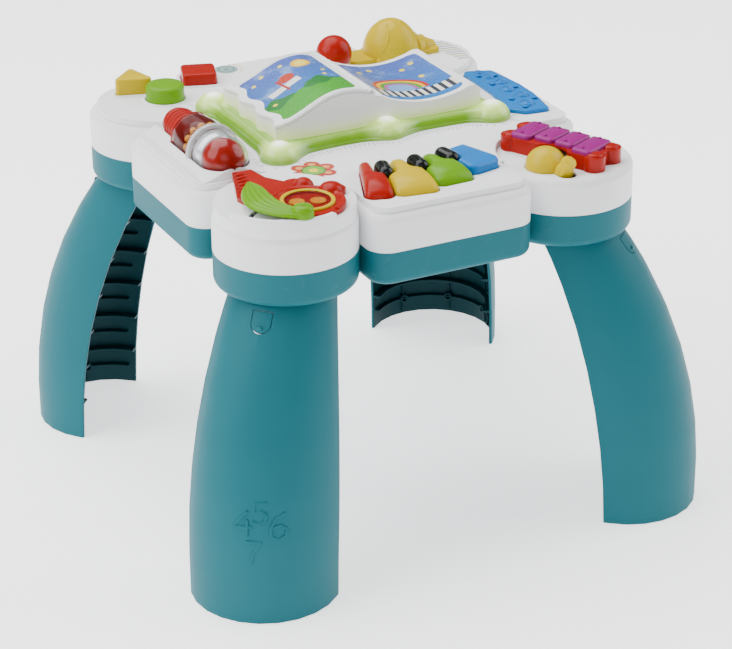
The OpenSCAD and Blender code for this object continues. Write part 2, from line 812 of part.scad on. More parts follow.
slider_at = [53, 154];
slide_left = 33;
slide_right = 8;
slot_gap = 0.4;
carriage_half = [9, 8];

module slider_slot() {
  r = slider_stem + slot_gap;
  x0 = slider_at[0] - slide_left;
  x1 = slider_at[0] + slide_right;
  y = slider_at[1];
  translate([x0, y - r]) square([x1 - x0, 2 * r]);
  for (x = [x0, x1]) translate([x, y]) circle(r);
}

module slide_ball() color(red) translate([slider_at[0], slider_at[1], 0]) {
  translate([0, 0, field_z + 1 + slider_r]) sphere(slider_r, $fn = 64);
  slab(field_z + seat_gap, field_z + 6) circle(slider_stem + 3);
  slab(roof_z - 3, field_z + 6) circle(slider_stem);
  slab(roof_z - seat_gap - 2.4, roof_z - seat_gap) square(2 * carriage_half, center = true);
}

// ---------- lamps ----------

lamp_spots = [[-106, -50], [17, -38], [133, -44], [-107, 106], [14, 98], [133, 108]];
led_r = 2.4;
lamp_board_r = 8;

module lamp_holes() for (p = lamp_spots) translate([p[0], p[1], roof_z - 1]) cylinder(r = led_r + 0.2, h = shell_t + 2);

module book_plan(grow) translate([-book_left - grow, -book_front - grow])
  square([book_left + book_right + 2 * grow, book_front + book_back + 2 * grow]);

module light_frame() color("#9ccc2e") difference() {
  union() {
    slab(field_z, field_z + frame_h) translate([(book_right - book_left) / 2, (book_back - book_front) / 2])
      rounded_box(book_left + book_right + 2 * frame_w, book_front + book_back + 2 * frame_w, frame_w);
    intersection() {
      translate([0, 0, field_z]) for (p = lamp_spots) translate(p) sphere(dome_r, $fn = 64);
      slab(field_z, field_z + frame_h) square(2 * lobe_x, center = true);
    }
  }
  slab(field_z - 1, field_z + frame_h + 1) book_plan(seat_gap);
  for (p = lamp_spots) translate([p[0], p[1], field_z - 1]) cylinder(r = stem_r + 0.1, h = frame_h + 2);
}

module light_lenses() color("#e6f2c8") difference() {
  for (p = lamp_spots) translate([p[0], p[1], field_z]) {
    intersection() {
      sphere(dome_r, $fn = 64);
      translate([0, 0, frame_h]) cylinder(r = dome_r, h = dome_r);
    }
    translate([0, 0, frame_h / 2]) cylinder(r = stem_r, h = frame_h / 2 + 1);
  }
  slab(field_z - 1, field_z + dome_r + 1) book_plan(seat_gap);
}

module leds() color("#f4ffd8") for (p = lamp_spots) translate([p[0], p[1], roof_z]) {
  cylinder(r = led_r, h = shell_t + frame_h / 2 - led_r);
  translate([0, 0, shell_t + frame_h / 2 - led_r]) sphere(led_r, $fn = 32);
}

// ---------- book ----------

crest_x = -27;
ridge_end = 18;
hinge_z = field_z + hinge_h;
leaf_gap = 0.4;
leaf_steps = 22;
page_steps = 14;
ear_t = 4;
rim_w = 12;
dish_x = 70;
dish_half = 52;
dish_rise = 11.5;
spine_rise = 2;

function leaf_top(x) = field_z + (x < crest_x
  ? leaf_low_h + (crest_h - leaf_low_h) * (1 - cos(180 * (x + book_left) / (crest_x + book_left))) / 2
  : crest_h - (crest_h - hinge_h - spine_rise) * ((x - crest_x) / (spine_x - crest_x)) ^ 2);
function page_top(x) = field_z + dish_h + dish_rise * ((x - dish_x) / dish_half) ^ 2;
function ridge_top(x) = 2 * hinge_z - leaf_top(2 * spine_x - x) - 2 * leaf_gap;
function steps(a, b, n) = [for (i = [0:n]) a + (b - a) * i / n];
function strip(xs, dz_top, dz_bottom) = concat([for (x = xs) [x, leaf_top(x) + dz_bottom]],
  [for (x = reversed(xs)) [x, leaf_top(x) + dz_top]]);

barrel_x0 = spine_x - barrel_r - leaf_gap;
barrel_x1 = spine_x + barrel_r + leaf_gap;
page_end = book_right - rim_w;

// outline of the fixed book seen along Y, shrunk by a wall t
function book_profile(t) = concat(
  [[-book_left + t, field_z - (t > 0 ? 1 : 0)], [book_right - t, field_z - (t > 0 ? 1 : 0)],
    [book_right - t, page_top(page_end) - t - 4], [book_right - rim_w / 2 - t / 2, page_top(page_end) - t]],
  [for (x = reversed(steps(ridge_end, page_end, page_steps))) [x, page_top(x) - t]],
  [for (x = reversed(steps(barrel_x1 + t, ridge_end - 1, 4))) [x, ridge_top(x) - t]],
  [[barrel_x1 + t, hinge_z - barrel_r - leaf_gap - t], [barrel_x0 - t, hinge_z - barrel_r - leaf_gap - t]],
  [for (x = reversed(steps(-book_left + t, barrel_x0 - t, leaf_steps))) [x, leaf_top(x) - leaf_t - leaf_gap - t]]);

module along_y(y0, y1) translate([0, y1, 0]) rotate([90, 0, 0]) linear_extrude(y1 - y0) children();

// plan of the left edge, a slow wave
module wave_plan(inset) polygon(concat([[book_right + 1, -book_front - 1], [book_right + 1, book_back + 1]],
  [for (y = reversed(steps(-book_front - 1, book_back + 1, 24)))
    [-book_left + inset + wave * (1 - cos(360 * 3 * (y + book_front) / (book_front + book_back))), y]]));

module book_base() color(white) difference() {
  union() {
    difference() {
      intersection() {
        along_y(-book_front, book_back) polygon(book_profile(0));
        slab(field_z - 1, field_z + crest_h) wave_plan(0);
      }
      along_y(-book_front + book_t, book_back - book_t) intersection() {
        polygon(book_profile(book_t));
        translate([-book_left + book_t + 2 * wave, 0]) square([book_left + book_right - 2 * book_t - 2 * wave, endless]);
      }
    }
    for (y = [-book_front, book_back - ear_t]) along_y(y, y + ear_t) {
      translate([spine_x, hinge_z]) circle(barrel_r);
      translate([barrel_x0, field_z + dish_h]) square([barrel_x1 - barrel_x0, hinge_h - dish_h]);
    }
  }
  on_y([spine_x, -book_front - 1, hinge_z]) cylinder(r = hinge_pin_r + pin_gap, h = book_front + book_back + 2);
}

module page_leaf() color(white) difference() {
  union() {
    intersection() {
      along_y(-book_front, book_back) polygon(strip(steps(-book_left, spine_x, leaf_steps), 0, -leaf_t));
      slab(field_z, field_z + crest_h + 1) wave_plan(0);
    }
    on_y([spine_x, -book_front + ear_t + leaf_gap, hinge_z])
      cylinder(r = barrel_r, h = book_front + book_back - 2 * ear_t - 2 * leaf_gap);
  }
  on_y([spine_x, -book_front - 1, hinge_z]) cylinder(r = hinge_pin_r + pin_gap, h = book_front + book_back + 2);
  for (y = [-book_front - 1, book_back - ear_t - leaf_gap]) translate([barrel_x0, y, hinge_z - 10])
    cube([20, ear_t + leaf_gap + 1, 30]);
}

print_t = 0.3;
print_inset = 7;
module leaf_print() color("#5fb3de") along_y(-book_front + print_inset, book_back - print_inset) {
  xs = steps(-book_left, spine_x, leaf_steps);
  polygon(strip([for (i = [3:leaf_steps - 2]) xs[i]], print_t, 0));
}

module page_print() color("#5fb3de") along_y(-book_front + print_inset, book_back - print_inset) {
  xs = steps(ridge_end, page_end, page_steps);
  polygon(concat([for (x = xs) [x, page_top(x)]], [for (x = reversed(xs)) [x, page_top(x) + print_t]]));
}

module page_hinge_pin() color(metal) on_y([spine_x, -book_front, hinge_z])
  cylinder(r = hinge_pin_r, h = book_front + book_back);

// ---------- roller ----------

module roller_yoke() color(red) difference() {
  union() {
    on_roller(ring_y - yoke_half) {
      tube(yoke_r, yoke_r - 5, 2 * yoke_half);
      for (a = [90, 210, 330]) rotate(a) translate([0, -2, 0]) cube([yoke_r - 4, 4, 2 * yoke_half]);
      cylinder(r = 6, h = 2 * yoke_half);
    }
    translate([-roller_x - channel_half - 6, ring_y - yoke_half, field_z]) cube([2 * channel_half + 12, 2 * yoke_half, 3]);
  }
  on_roller(ring_y - yoke_half - 1) cylinder(r = axle_r + pin_gap, h = 2 * yoke_half + 2);
}

front_y1 = ring_y - yoke_half - shell_gap;
rear_y0 = ring_y + yoke_half + shell_gap;

module roller_shell_front() color(clear) on_roller(front_shell_y) difference() {
  union() {
    cylinder(r = drum_r, h = front_y1 - front_shell_y);
    sphere(drum_r, $fn = 64);
  }
  cylinder(r = drum_r - drum_t, h = drum_r * 2);
  sphere(drum_r - drum_t, $fn = 64);
}

module roller_reflector() color("#e9e9ec") on_roller(front_shell_y + 9) difference() {
  union() {
    cylinder(r = drum_r - drum_t - 2, h = front_y1 - front_shell_y - 9);
    translate([0, 0, front_y1 - front_shell_y - 11]) cylinder(r = drum_r - drum_t - pin_gap, h = 2);
  }
  translate([0, 0, -1]) cylinder(r = axle_r, h = 40);
}

module roller_ball() color(red) on_roller(front_shell_y) difference() {
  intersection() {
    sphere(ball_r, $fn = 64);
    translate([0, 0, -ball_r - 1]) cylinder(r = ball_r + 1, h = ball_r + 10);
  }
  translate([0, 0, axle_y0 - front_shell_y]) cylinder(r = axle_r, h = 2 * ball_r);
}

module roller_shell_rear() color(clear) on_roller(rear_y0) difference() {
  cylinder(r = drum_r, h = rear_end_y - rear_y0);
  translate([0, 0, drum_t]) cylinder(r = drum_r - drum_t, h = 60);
  translate([0, 0, -1]) cylinder(r = axle_r + pin_gap, h = 10);
}

module roller_beads() color(yellow) for (i = [0:6]) on_roller(rear_y0 + drum_t + bead_r + 1 + 4.6 * i)
  rotate(117 * i) translate([drum_r - drum_t - bead_r - seat_gap, 0, 0]) sphere(bead_r, $fn = 32);

module roller_cap() color(red) on_roller(rear_end_y) difference() {
  len = cap_end_y - rear_end_y - cap_dome;
  union() {
    translate([0, 0, -cap_flange]) cylinder(r = drum_r - drum_t - pin_gap, h = cap_flange + eps);
    cylinder(r = drum_r, h = cap_flange);
    cylinder(r = cap_r, h = len);
    translate([0, 0, len]) intersection() {
      translate([0, 0, cap_dome - cap_sphere_r]) sphere(cap_sphere_r, $fn = 64);
      cylinder(r = cap_r + 1, h = cap_dome + 1);
    }
  }
  translate([0, 0, -10]) cylinder(r = axle_r, h = 100);
  for (k = [1:3]) translate([0, 0, cap_flange + k * (len - cap_flange) / 4]) rotate_extrude()
    translate([cap_r + 0.4, 0]) circle(groove_r, $fn = 24);
}

cap_sphere_r = (cap_r ^ 2 + cap_dome ^ 2) / (2 * cap_dome);

module roller_axle() color(metal) on_roller(axle_y0) cylinder(r = axle_r, h = axle_y1 - axle_y0);

// ---------- chimes ----------

chime_at = [149, -153];
chime_turn = -64;
end_lobe_r = 11;
bar_gap = 1.5;
bar_w = (chime_len - 10) / bars - bar_gap;

module at_chime(z) translate([chime_at[0], chime_at[1], z]) rotate(chime_turn) children();

module mallet_clear() translate([mallet_at[0], mallet_at[1], rim_z - 1]) {
  cylinder(r = mallet_r + button_gap + 0.3, h = chime_h + bar_h + 5);
  translate([stub_at[0] - mallet_at[0], stub_at[1] - mallet_at[1], 0]) cylinder(r = stub_r + 1, h = chime_h + bar_h + 5);
}

module chime_frame() color(red) difference() {
  at_chime(rim_z) linear_extrude(chime_h) {
    rounded_box(chime_len, chime_w, 8);
    for (sx = [-1, 1], sy = [-1, 1])
      translate([sx * (chime_len / 2 - 4), sy * (chime_w / 2 - end_lobe_r + 2)]) circle(end_lobe_r);
  }
  at_chime(rim_z - 1) linear_extrude(chime_h - 2) rounded_box(chime_len - 6, chime_w - 6, 5);
  mallet_clear();
}

module chime_bars() color(purple) difference() {
  at_chime(rim_z + chime_h) for (i = [0:bars - 1])
    translate([(i - (bars - 1) / 2) * (bar_w + bar_gap), 0, 0]) {
      linear_extrude(bar_h) rounded_box(bar_w, bar_len, 5);
      for (s = [-1, 1]) translate([0, s * (bar_len / 2 - 5), bar_h - eps]) cylinder(r1 = 1.6, r2 = 1, h = 1);
    }
  mallet_clear();
}

// ---------- horn ----------

horn_at = [130, 172];
horn_foot = 5;
horn_tip_r = 7;
horn_x0 = 76;
horn_depth = 36;

module horn_form(t) {
  translate([horn_at[0], horn_at[1], field_z + 2]) intersection() {
    union() {
      sphere(horn_r - t, $fn = 64);
      rotate([0, 90, 0]) translate([0, 0, 8]) cylinder(r1 = horn_r - 3 - t, r2 = horn_tip_r - t, h = horn_len - 8 - t);
    }
    translate([-60, -60, -2 - (t > 0 ? 1 : 0)]) cube([130, 120, 60]);
  }
}

module horn() color(yellow) difference() {
  union() {
    horn_form(0);
    slab(field_z, field_z + horn_foot) translate([(horn_x0 + horn_at[0] + horn_len) / 2, horn_at[1]])
      rounded_box(horn_at[0] + horn_len - horn_x0, horn_depth, 6);
    for (a = [20:20:340]) if (a < 150 || a > 210) translate([horn_at[0], horn_at[1], field_z]) rotate(a)
      translate([horn_r - 1, 0, 0]) scallop();
  }
  horn_form(horn_t);
}

module scallop() intersection() {
  translate([0, 0, 2]) sphere(4, $fn = 32);
  cylinder(r = 5, h = 7);
}

// ---------- battery bay and electronics ----------

bay_at = [-55, 45];
cells = 3;
cell_pitch = 2 * battery_r + 0.6;
contact_t = 1;
bay_x = battery_len + 2 * contact_t + 1;
bay_y = cells * cell_pitch + 1;
bay_h = 2 * battery_r + 1;
ledge = 5;
door_x = bay_x + 2 * ledge;
door_y = bay_y + 2 * ledge;
door_t = shell_t;
bay_wall = 2.4;
door_screw_x = bay_x / 2 + ledge / 2;
speaker_at = [-45, -55];
main_board_at = [62, 30];
main_board_size = [100, 70];
board_post_h = 9;
board_post_r = 3;
grille_r = 1.6;
switch_at = [40, -62];
switch_slot = [14, 6];
switch_travel = 4;

module at_bay(z) translate([bay_at[0], bay_at[1], z]) children();

module bay_block() at_bay(leg_h) linear_extrude(door_t + bay_h + bay_wall)
  rounded_box(door_x + 2 * bay_wall, door_y + 2 * bay_wall, 4);

module bay_cuts() at_bay(0) {
  slab(leg_h - 1, leg_h + door_t) rounded_box(door_x + 0.6, door_y + 0.6, 2.3);
  slab(leg_h, leg_h + door_t + bay_h) square([bay_x, bay_y], center = true);
  translate([door_screw_x, 0, leg_h]) cylinder(r = small_screw_r, h = door_t + 9);
}

module battery_door() color(teal) difference() {
  at_bay(0) slab(leg_h, leg_h + door_t) rounded_box(door_x, door_y, 2);
  at_bay(leg_h - 1) translate([door_screw_x, 0, 0]) {
    cylinder(r = small_screw_r + 0.2, h = door_t + 2);
    cylinder(r = 2 * small_screw_r + 0.2, h = 2.2);
  }
  for (k = [-2:2]) at_bay(leg_h - 1) translate([-bay_x / 2 + 8 + 3 * k + 6, 0, 0])
    translate([-0.75, -8, 0]) cube([1.5, 16, 1.8]);
}

module battery_door_screw() color(metal) at_bay(leg_h) translate([door_screw_x, 0, 0]) {
  cylinder(r = 2 * small_screw_r, h = 1.2);
  cylinder(r = small_screw_r, h = door_t + 8);
}

module batteries() color("#3b3f45") at_bay(leg_h + door_t + battery_r + 0.2) for (i = [0:cells - 1])
  translate([0, (i - (cells - 1) / 2) * cell_pitch, 0]) rotate([0, i % 2 == 0 ? 90 : -90, 0])
    translate([0, 0, -battery_len / 2]) {
      cylinder(r = battery_r, h = battery_len - 1.5);
      cylinder(r = battery_r / 3, h = battery_len);
    }

module battery_contacts() color(metal) at_bay(leg_h + door_t + 1) for (s = [-1, 1], i = [0:cells - 1])
  translate([s * (bay_x - contact_t) / 2, (i - (cells - 1) / 2) * cell_pitch, battery_r])
    cube([contact_t, battery_r * 1.6, battery_r * 1.6], center = true);

module speaker() color("#2c2e32") translate([speaker_at[0], speaker_at[1], floor_z]) {
  cylinder(r = speaker_r, h = 3);
  translate([0, 0, 3 - eps]) cylinder(r1 = speaker_r - 2, r2 = speaker_r / 2, h = 9);
  translate([0, 0, 12 - 2 * eps]) cylinder(r = speaker_r / 2, h = 7);
}

module speaker_grille() for (ring = [0:3], k = [0:max(0, 6 * ring - 1)]) {
  a = ring == 0 ? 0 : 360 * k / (6 * ring);
  translate([speaker_at[0] + 6 * ring * cos(a), speaker_at[1] + 6 * ring * sin(a), leg_h - 1])
    cylinder(r = grille_r, h = shell_t + 1);
}

module board_spots() for (sx = [-1, 1], sy = [-1, 1])
  translate([main_board_at[0] + sx * (main_board_size[0] / 2 - 5), main_board_at[1] + sy * (main_board_size[1] / 2 - 5), 0])
    children();

main_board_z = floor_z + board_post_h;

module main_board() color(board_green) difference() {
  union() {
    translate([main_board_at[0], main_board_at[1], main_board_z]) {
      translate([-main_board_size[0] / 2, -main_board_size[1] / 2, 0]) cube([main_board_size[0], main_board_size[1], board_t]);
      for (i = [0:2]) translate([-34 + 26 * i, -10, board_t - eps]) cube([14, 14 + 4 * i, 2.5]);
      for (i = [0:3]) translate([-30 + 18 * i, 22, board_t - eps]) cylinder(r = 4, h = 9);
    }
  }
  board_spots() translate([0, 0, main_board_z - 1]) cylinder(r = small_screw_r + 0.2, h = board_t + 2);
}

// room beside a button for a post: its flange's reach, then the post
post_room = button_gap + flange_w + seat_gap + board_post_r;
function by_mallet(a) = mallet_at + (mallet_r + post_room) * [cos(a), sin(a)];
function by_square(s) = square_at + s * (square_w / 2 + post_room) * [-sin(square_turn), cos(square_turn)];

// spots of the boards hung under the roof: x, y, radius, roof height, travel above
hung_boards = [[-150, 168, 44, roof_z, shape_travel], [square_at[0], square_at[1], square_w / 2 + 10, roof_z, shape_travel],
  [mallet_at[0] + 2, mallet_at[1] - 4, mallet_r + 10, low_roof_z, mallet_travel], [panel_mid, 22, panel_w / 2 + 5, roof_z, panel_travel]];
hung_posts = [[[-180, 158], [-116, 178]], [by_square(-1), by_square(1)], [by_mallet(-152), by_mallet(-17)],
  [[panel_left + 1.5, 32], [panel_left + 1.5, 12]]];
pad_spots = [[triangle_at, 0], [circle_at, 0], [square_at, 1], [mallet_at, 2], [[panel_mid + 7, 24], 3]];
pad_r = 4;
pad_h = 5;

function board_top(i) = hung_boards[i][3] - seat_gap - flange_t - hung_boards[i][4] - pad_h - 0.5;

module hung_board_posts(r, extra) for (i = [0:3], p = hung_posts[i])
  translate([p[0], p[1], board_top(i)]) cylinder(r = r, h = extra > 0 ? extra : hung_boards[i][3] - board_top(i) + 1);

module circuit_boards() color(board_green) {
  difference() {
    for (i = [0:3]) translate([hung_boards[i][0], hung_boards[i][1], board_top(i) - board_t])
      cylinder(r = hung_boards[i][2], h = board_t);
    for (i = [0:3], p = hung_posts[i]) translate([p[0], p[1], board_top(i) - board_t - 1])
      cylinder(r = small_screw_r + 0.2, h = board_t + 2);
    shell_post_room();
  }
  for (p = lamp_spots) translate([p[0], p[1], roof_z - board_t]) cylinder(r = lamp_board_r, h = board_t);
}

module shell_post_room() for (p = screw_spots) translate([p[0], p[1], boss_top_z]) cylinder(r = boss_r + 0.5, h = 100);

module small_screw(h) {
  cylinder(r = 2 * small_screw_r, h = 1.4);
  translate([0, 0, 1.4 - eps]) cylinder(r = small_screw_r, h = h);
}

module board_screws() color(metal) {
  board_spots() translate([0, 0, main_board_z + board_t + 1.4]) mirror([0, 0, 1]) small_screw(board_t + 6);
  for (i = [0:3], p = hung_posts[i]) translate([p[0], p[1], board_top(i) - board_t - 1.4]) small_screw(board_t + 5);
}

module switch_pads() color("#8f9398") {
  for (s = pad_spots) translate([s[0][0], s[0][1], board_top(s[1])]) cylinder(r1 = pad_r + 1, r2 = pad_r, h = pad_h);
  for (i = [0:3]) translate(fan(key_fronts[i] - 16, key_mid(i)))
    translate([0, 0, pocket_floor_z]) cylinder(r = pad_r, h = 1.2);
}

module power_switch() color("#2c2e32") translate([switch_at[0], switch_at[1], 0]) {
  slab(leg_h - 1.5, floor_z + 1) translate([-switch_travel / 2, 0])
    square([switch_slot[0] - switch_travel - 2 * slot_gap, switch_slot[1] - 2 * slot_gap], center = true);
  slab(floor_z + seat_gap, floor_z + seat_gap + 2.4) square([switch_slot[0] + 6, switch_slot[1] + 8], center = true);
}

module power_guides() for (s = [-1, 1])
  translate([switch_at[0] - 14, switch_at[1] + s * (switch_slot[1] / 2 + 6) - 1, floor_z - 1]) cube([28, 2, 5]);

// ---------- the two shells ----------

module base_shell() color(teal) difference() {
  union() {
    difference() {
      translate([0, 0, leg_h]) deck_slab(skirt_h, 0, skirt_round);
      slab(leg_h + skirt_round, parting_z + 1) deck_plan(shell_t);
      slab(floor_z, parting_z) deck_plan(skirt_round);
    }
    shell_bosses();
    bay_block();
    board_spots() translate([0, 0, leg_h + 1]) cylinder(r = board_post_r, h = main_board_z - leg_h - 1);
    power_guides();
    translate([speaker_at[0], speaker_at[1], leg_h + 1]) tube(speaker_r + 2.2, speaker_r + 0.2, 6);
    for (i = [0:3]) at_leg(i) slab(leg_h, leg_h + plug_h + 3) plug_plan(2.4, flank + 4);
  }
  for (i = [0:3]) at_leg(i) slab(leg_h - 1, leg_h + plug_h + plug_gap) plug_plan(plug_gap, flank - 2);
  shell_screw_holes();
  bay_cuts();
  speaker_grille();
  board_spots() translate([0, 0, main_board_z - 7]) cylinder(r = small_screw_r, h = 10);
  translate([switch_at[0], switch_at[1], leg_h - 1]) linear_extrude(shell_t + 2) square(switch_slot, center = true);
}

module top_shell() color(white) {
  top_casing();
  key_lugs();
}

module top_casing() difference() {
  union() {
    difference() {
      union() {
        translate([0, 0, parting_z]) deck_slab(rim_h, rim_round, 0);
        slab(rim_z - rim_round / 2, field_z) field_plan(field_inset);
        translate([-lobe_x, -lobe_y, rim_z - rim_round / 2]) cylinder(r = plateau_r, h = plateau_z - rim_z + rim_round / 2);
      }
      slab(parting_z - 1, rim_z - rim_round) deck_plan(shell_t);
      slab(parting_z, low_roof_z) deck_plan(rim_round + shell_t / 2);
      slab(parting_z, roof_z) field_plan(field_inset + shell_t);
      translate([-lobe_x, -lobe_y, parting_z]) cylinder(r = lobe_r - rim_round - shell_t / 2, h = plateau_z - shell_t - parting_z);
    }
    slab(pocket_floor_z - shell_t, rim_z - shell_t / 2) intersection() {
      keyboard_plan(pocket_gap + shell_t);
      deck_plan(shell_t / 2);
    }
    slab(channel_floor_z - shell_t, rim_z) channel_plan(shell_t);
    shell_posts();
    hung_board_posts(board_post_r, 0);
    roller_post();
  }
  slab(pocket_floor_z, plateau_z + 1) keyboard_plan(pocket_gap);
  slab(channel_floor_z, plateau_z + 1) channel_plan(0);
  slab(button_depth(roof_z, shape_travel), plateau_z) shape_plans(button_gap);
  slab(button_depth(roof_z, panel_travel), plateau_z) panel_plan(button_gap / 2);
  slab(button_depth(low_roof_z, mallet_travel), rim_z + 1) mallet_plan(button_gap);
  slab(plateau_z - shell_t - 2, plateau_z + 1) slot_plan(0);
  translate([hub_at[0], hub_at[1], plateau_z - shell_t - 2]) cylinder(r = pivot_r, h = shell_t + 3);
  slab(roof_z - 1, field_z + 1) slider_slot();
  lamp_holes();
  shell_post_holes();
  hung_board_posts(small_screw_r, 6);
}

top_shell();
base_shell();
battery_door();
battery_door_screw();
batteries();
battery_contacts();
speaker();
main_board();
circuit_boards();
board_screws();
leds();
shell_screws();
switch_pads();
power_switch();
at_leg(0) leg();  // leg_front_left
at_leg(1) leg();  // leg_front_right
at_leg(2) leg();  // leg_back_left
at_leg(3) leg();  // leg_back_right
at_leg(0) leg_tab();  // tab_front_left
at_leg(1) leg_tab();  // tab_front_right
at_leg(2) leg_tab();  // tab_back_left
at_leg(3) leg_tab();  // tab_back_right
book_base();
page_leaf();
leaf_print();
page_print();
page_hinge_pin();
light_frame();
light_lenses();
roller_shell_front();
roller_shell_rear();
roller_ball();
roller_reflector();
roller_beads();
roller_axle();
roller_cap();
roller_yoke();
strum_plate();
strum_ring();
strum_window();
strum_discs();
strum_lever();
strum_screw();
piano_key(0);  // piano_key_red
piano_key(1);  // piano_key_yellow
piano_key(2);  // piano_key_green
piano_key(3);  // piano_key_blue
black_key(0);  // black_key_1
black_key(1);  // black_key_2
black_key(2);  // black_key_3
key_pins();
chime_frame();
chime_bars();
mallet_button();
triangle_button();
circle_button();
square_button();
relief_panel();
horn();
slide_ball();
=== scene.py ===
"""Dresses the musical activity table: finishes, toys, prints and the studio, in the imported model's frame."""
import json
from math import asin, atan2, cos, degrees, hypot, pi, radians, sin, sqrt

import bmesh
import bpy
from mathutils import Matrix, Vector


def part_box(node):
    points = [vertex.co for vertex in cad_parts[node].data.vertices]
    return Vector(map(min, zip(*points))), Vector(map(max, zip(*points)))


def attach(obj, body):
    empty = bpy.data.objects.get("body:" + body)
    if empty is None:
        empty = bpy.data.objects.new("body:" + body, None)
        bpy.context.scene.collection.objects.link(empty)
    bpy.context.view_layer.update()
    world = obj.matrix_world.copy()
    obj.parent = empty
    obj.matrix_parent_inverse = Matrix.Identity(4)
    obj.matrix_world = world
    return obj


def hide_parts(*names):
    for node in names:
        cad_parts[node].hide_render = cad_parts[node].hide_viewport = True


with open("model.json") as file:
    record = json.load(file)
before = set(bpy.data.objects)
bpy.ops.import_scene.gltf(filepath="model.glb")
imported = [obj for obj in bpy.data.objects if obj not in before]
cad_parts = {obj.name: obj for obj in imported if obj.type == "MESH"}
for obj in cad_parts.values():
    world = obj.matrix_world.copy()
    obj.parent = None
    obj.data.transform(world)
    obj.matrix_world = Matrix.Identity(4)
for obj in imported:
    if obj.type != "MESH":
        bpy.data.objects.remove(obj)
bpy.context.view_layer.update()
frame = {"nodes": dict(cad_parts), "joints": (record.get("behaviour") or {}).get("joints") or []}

bl_info = {
    "name": "Musical activity table",
    "version": (1, 0, 0),
    "blender": (4, 5, 0),
    "location": "3D View > Sidebar > Play table",
    "description": "Dresses the packed play table with finishes, moulded toys and prints",
    "category": "Object",
}

MM = 0.001
UP = Vector((0, 0, 1))
ALONG_X = Vector((1, 0, 0))
ALONG_Y = Vector((0, 1, 0))


# ---------- places, in millimetres ----------


def low(node):
    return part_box(node)[0] / MM


def high(node):
    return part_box(node)[1] / MM


def joint_place(name):
    joint = next(j for j in frame["joints"] if j["name"] == name)
    return Vector(joint["pos_m"]) / MM


field_z = low("light_frame").z
rim_z = low("chime_frame").z
plate_top_z = low("strum_ring").z
plateau_z = plate_top_z - 4.5
roller_axis = joint_place("roller_spin")

CORNERS = {"front_left": (-1, -1), "front_right": (1, -1), "back_left": (-1, 1), "back_right": (1, 1)}
LAMPS = ((-106, -50), (17, -38), (133, -44), (133, 108), (14, 98), (-107, 106))
BOOK = {"left": -102.0, "right": 126.0, "front": -33.0, "back": 92.0, "spine": 3.0, "crest": -27.0,
        "leaf_low": 27.0, "leaf_rise": 24.0, "leaf_fall": 5.0,
        "page_low": 24.5, "page_rise": 11.5, "page_dip": 70.0, "page_run": 52.0, "margin": 7.0}
LEG = {"height": 291.0, "spread": 360.0, "shift": 6.0, "bow": 427.0, "bow_z": 30.0, "foot": 73.0,
       "taper": 1200.0, "taper_z": 50.0, "wall": 2.8,
       "rib_z": 20.7, "rib_pitch": 41.4, "rib_lines": (-48, 0, 48)}
KEYBOARD = {"centre": (7.0, 40.0), "edges": (-21.3, -14.2, -3.0, 8.0, 18.5),
            "fronts": (239.0, 237.0, 227.0, 218.0), "rear": 166.0, "round": 9.0, "gap": 1.0, "top": 16.0,
            "sole": 5.0, "blacks": (186.0, 181.0, 178.0), "black_half": 7.2, "black_room": 9.3}
BADGE = {"centre": (-90, -93), "turn": 12, "petals": 6, "reach": 15.0, "petal": 9.0}

# grains of the satin mouldings
FINE, MEDIUM, COARSE = 0.5, 0.7, 0.9

# softness of a mask's edge, in metres
CRISP = 0.0004


# ---------- settings a user would change ----------


def colour(name, about, rgb):
    return bpy.props.FloatVectorProperty(
        name=name, description=about, subtype="COLOR", size=3, min=0.0, max=1.0, default=rgb
    )


def length(name, about, millimetres):
    return bpy.props.FloatProperty(
        name=name, description=about, unit="LENGTH", min=0.0, default=millimetres * MM
    )


def angle(name, about, turn):
    return bpy.props.FloatProperty(name=name, description=about, unit="ROTATION", default=radians(turn))


class TableColours(bpy.types.PropertyGroup):
    """Colours of the mouldings and prints"""

    teal: colour("Teal", "Legs and lower deck", (0.008, 0.118, 0.146))
    white: colour("White", "Upper deck and book", (0.850, 0.855, 0.870))
    red: colour("Red", "Red toys", (0.330, 0.007, 0.003))
    yellow: colour("Yellow", "Yellow toys", (0.560, 0.400, 0.001))
    green: colour("Green", "Green toys", (0.120, 0.310, 0.001))
    blue: colour("Blue", "Blue toys", (0.006, 0.165, 0.500))
    purple: colour("Purple", "Chime bars", (0.260, 0.012, 0.170))
    orange: colour("Orange", "Discs under the strummer's window", (0.640, 0.230, 0.006))
    lamp: colour("Lamp green", "Green frame away from its lamps", (0.110, 0.270, 0.001))
    glow: colour("Lamp glow", "Green frame over its lamps", (0.700, 0.950, 0.240))
    sky: colour("Print blue", "Blue of the page prints", (0.016, 0.175, 0.500))
    ink: colour("Print ink", "Grey of the printed ticks", (0.300, 0.310, 0.350))


class TableSizes(bpy.types.PropertyGroup):
    """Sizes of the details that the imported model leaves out"""

    edge: length("Edge rounding", "Rounding of moulded edges", 1.6)
    tick: length("Tick length", "Length of the ticks printed round the green frame", 8.0)
    film: length("Print film", "Thickness of printed film", 0.15)
    rib: length("Cap rib", "Depth of the grooves of the roller's cap", 1.6)
    numeral: length("Numeral relief", "Height of the numerals on the front left leg", 0.18)


class StudioSettings(bpy.types.PropertyGroup):
    """Camera and lights"""

    place: bpy.props.FloatVectorProperty(
        name="Camera place", description="Camera position", subtype="TRANSLATION", unit="LENGTH", size=3,
        default=(-1.04036, -2.09770, 1.25247),
    )
    yaw: angle("Yaw", "Turn to the right", -26.637)
    pitch: angle("Pitch", "Tilt down", 25.317)
    roll: angle("Roll", "Roll of the camera", -0.349)
    lens: bpy.props.FloatProperty(name="Lens", description="Focal length", unit="CAMERA", default=122.25)
    floor: colour("Floor", "Colour of the studio floor", (0.93, 0.93, 0.94))


def colours():
    return bpy.context.scene.table_colours


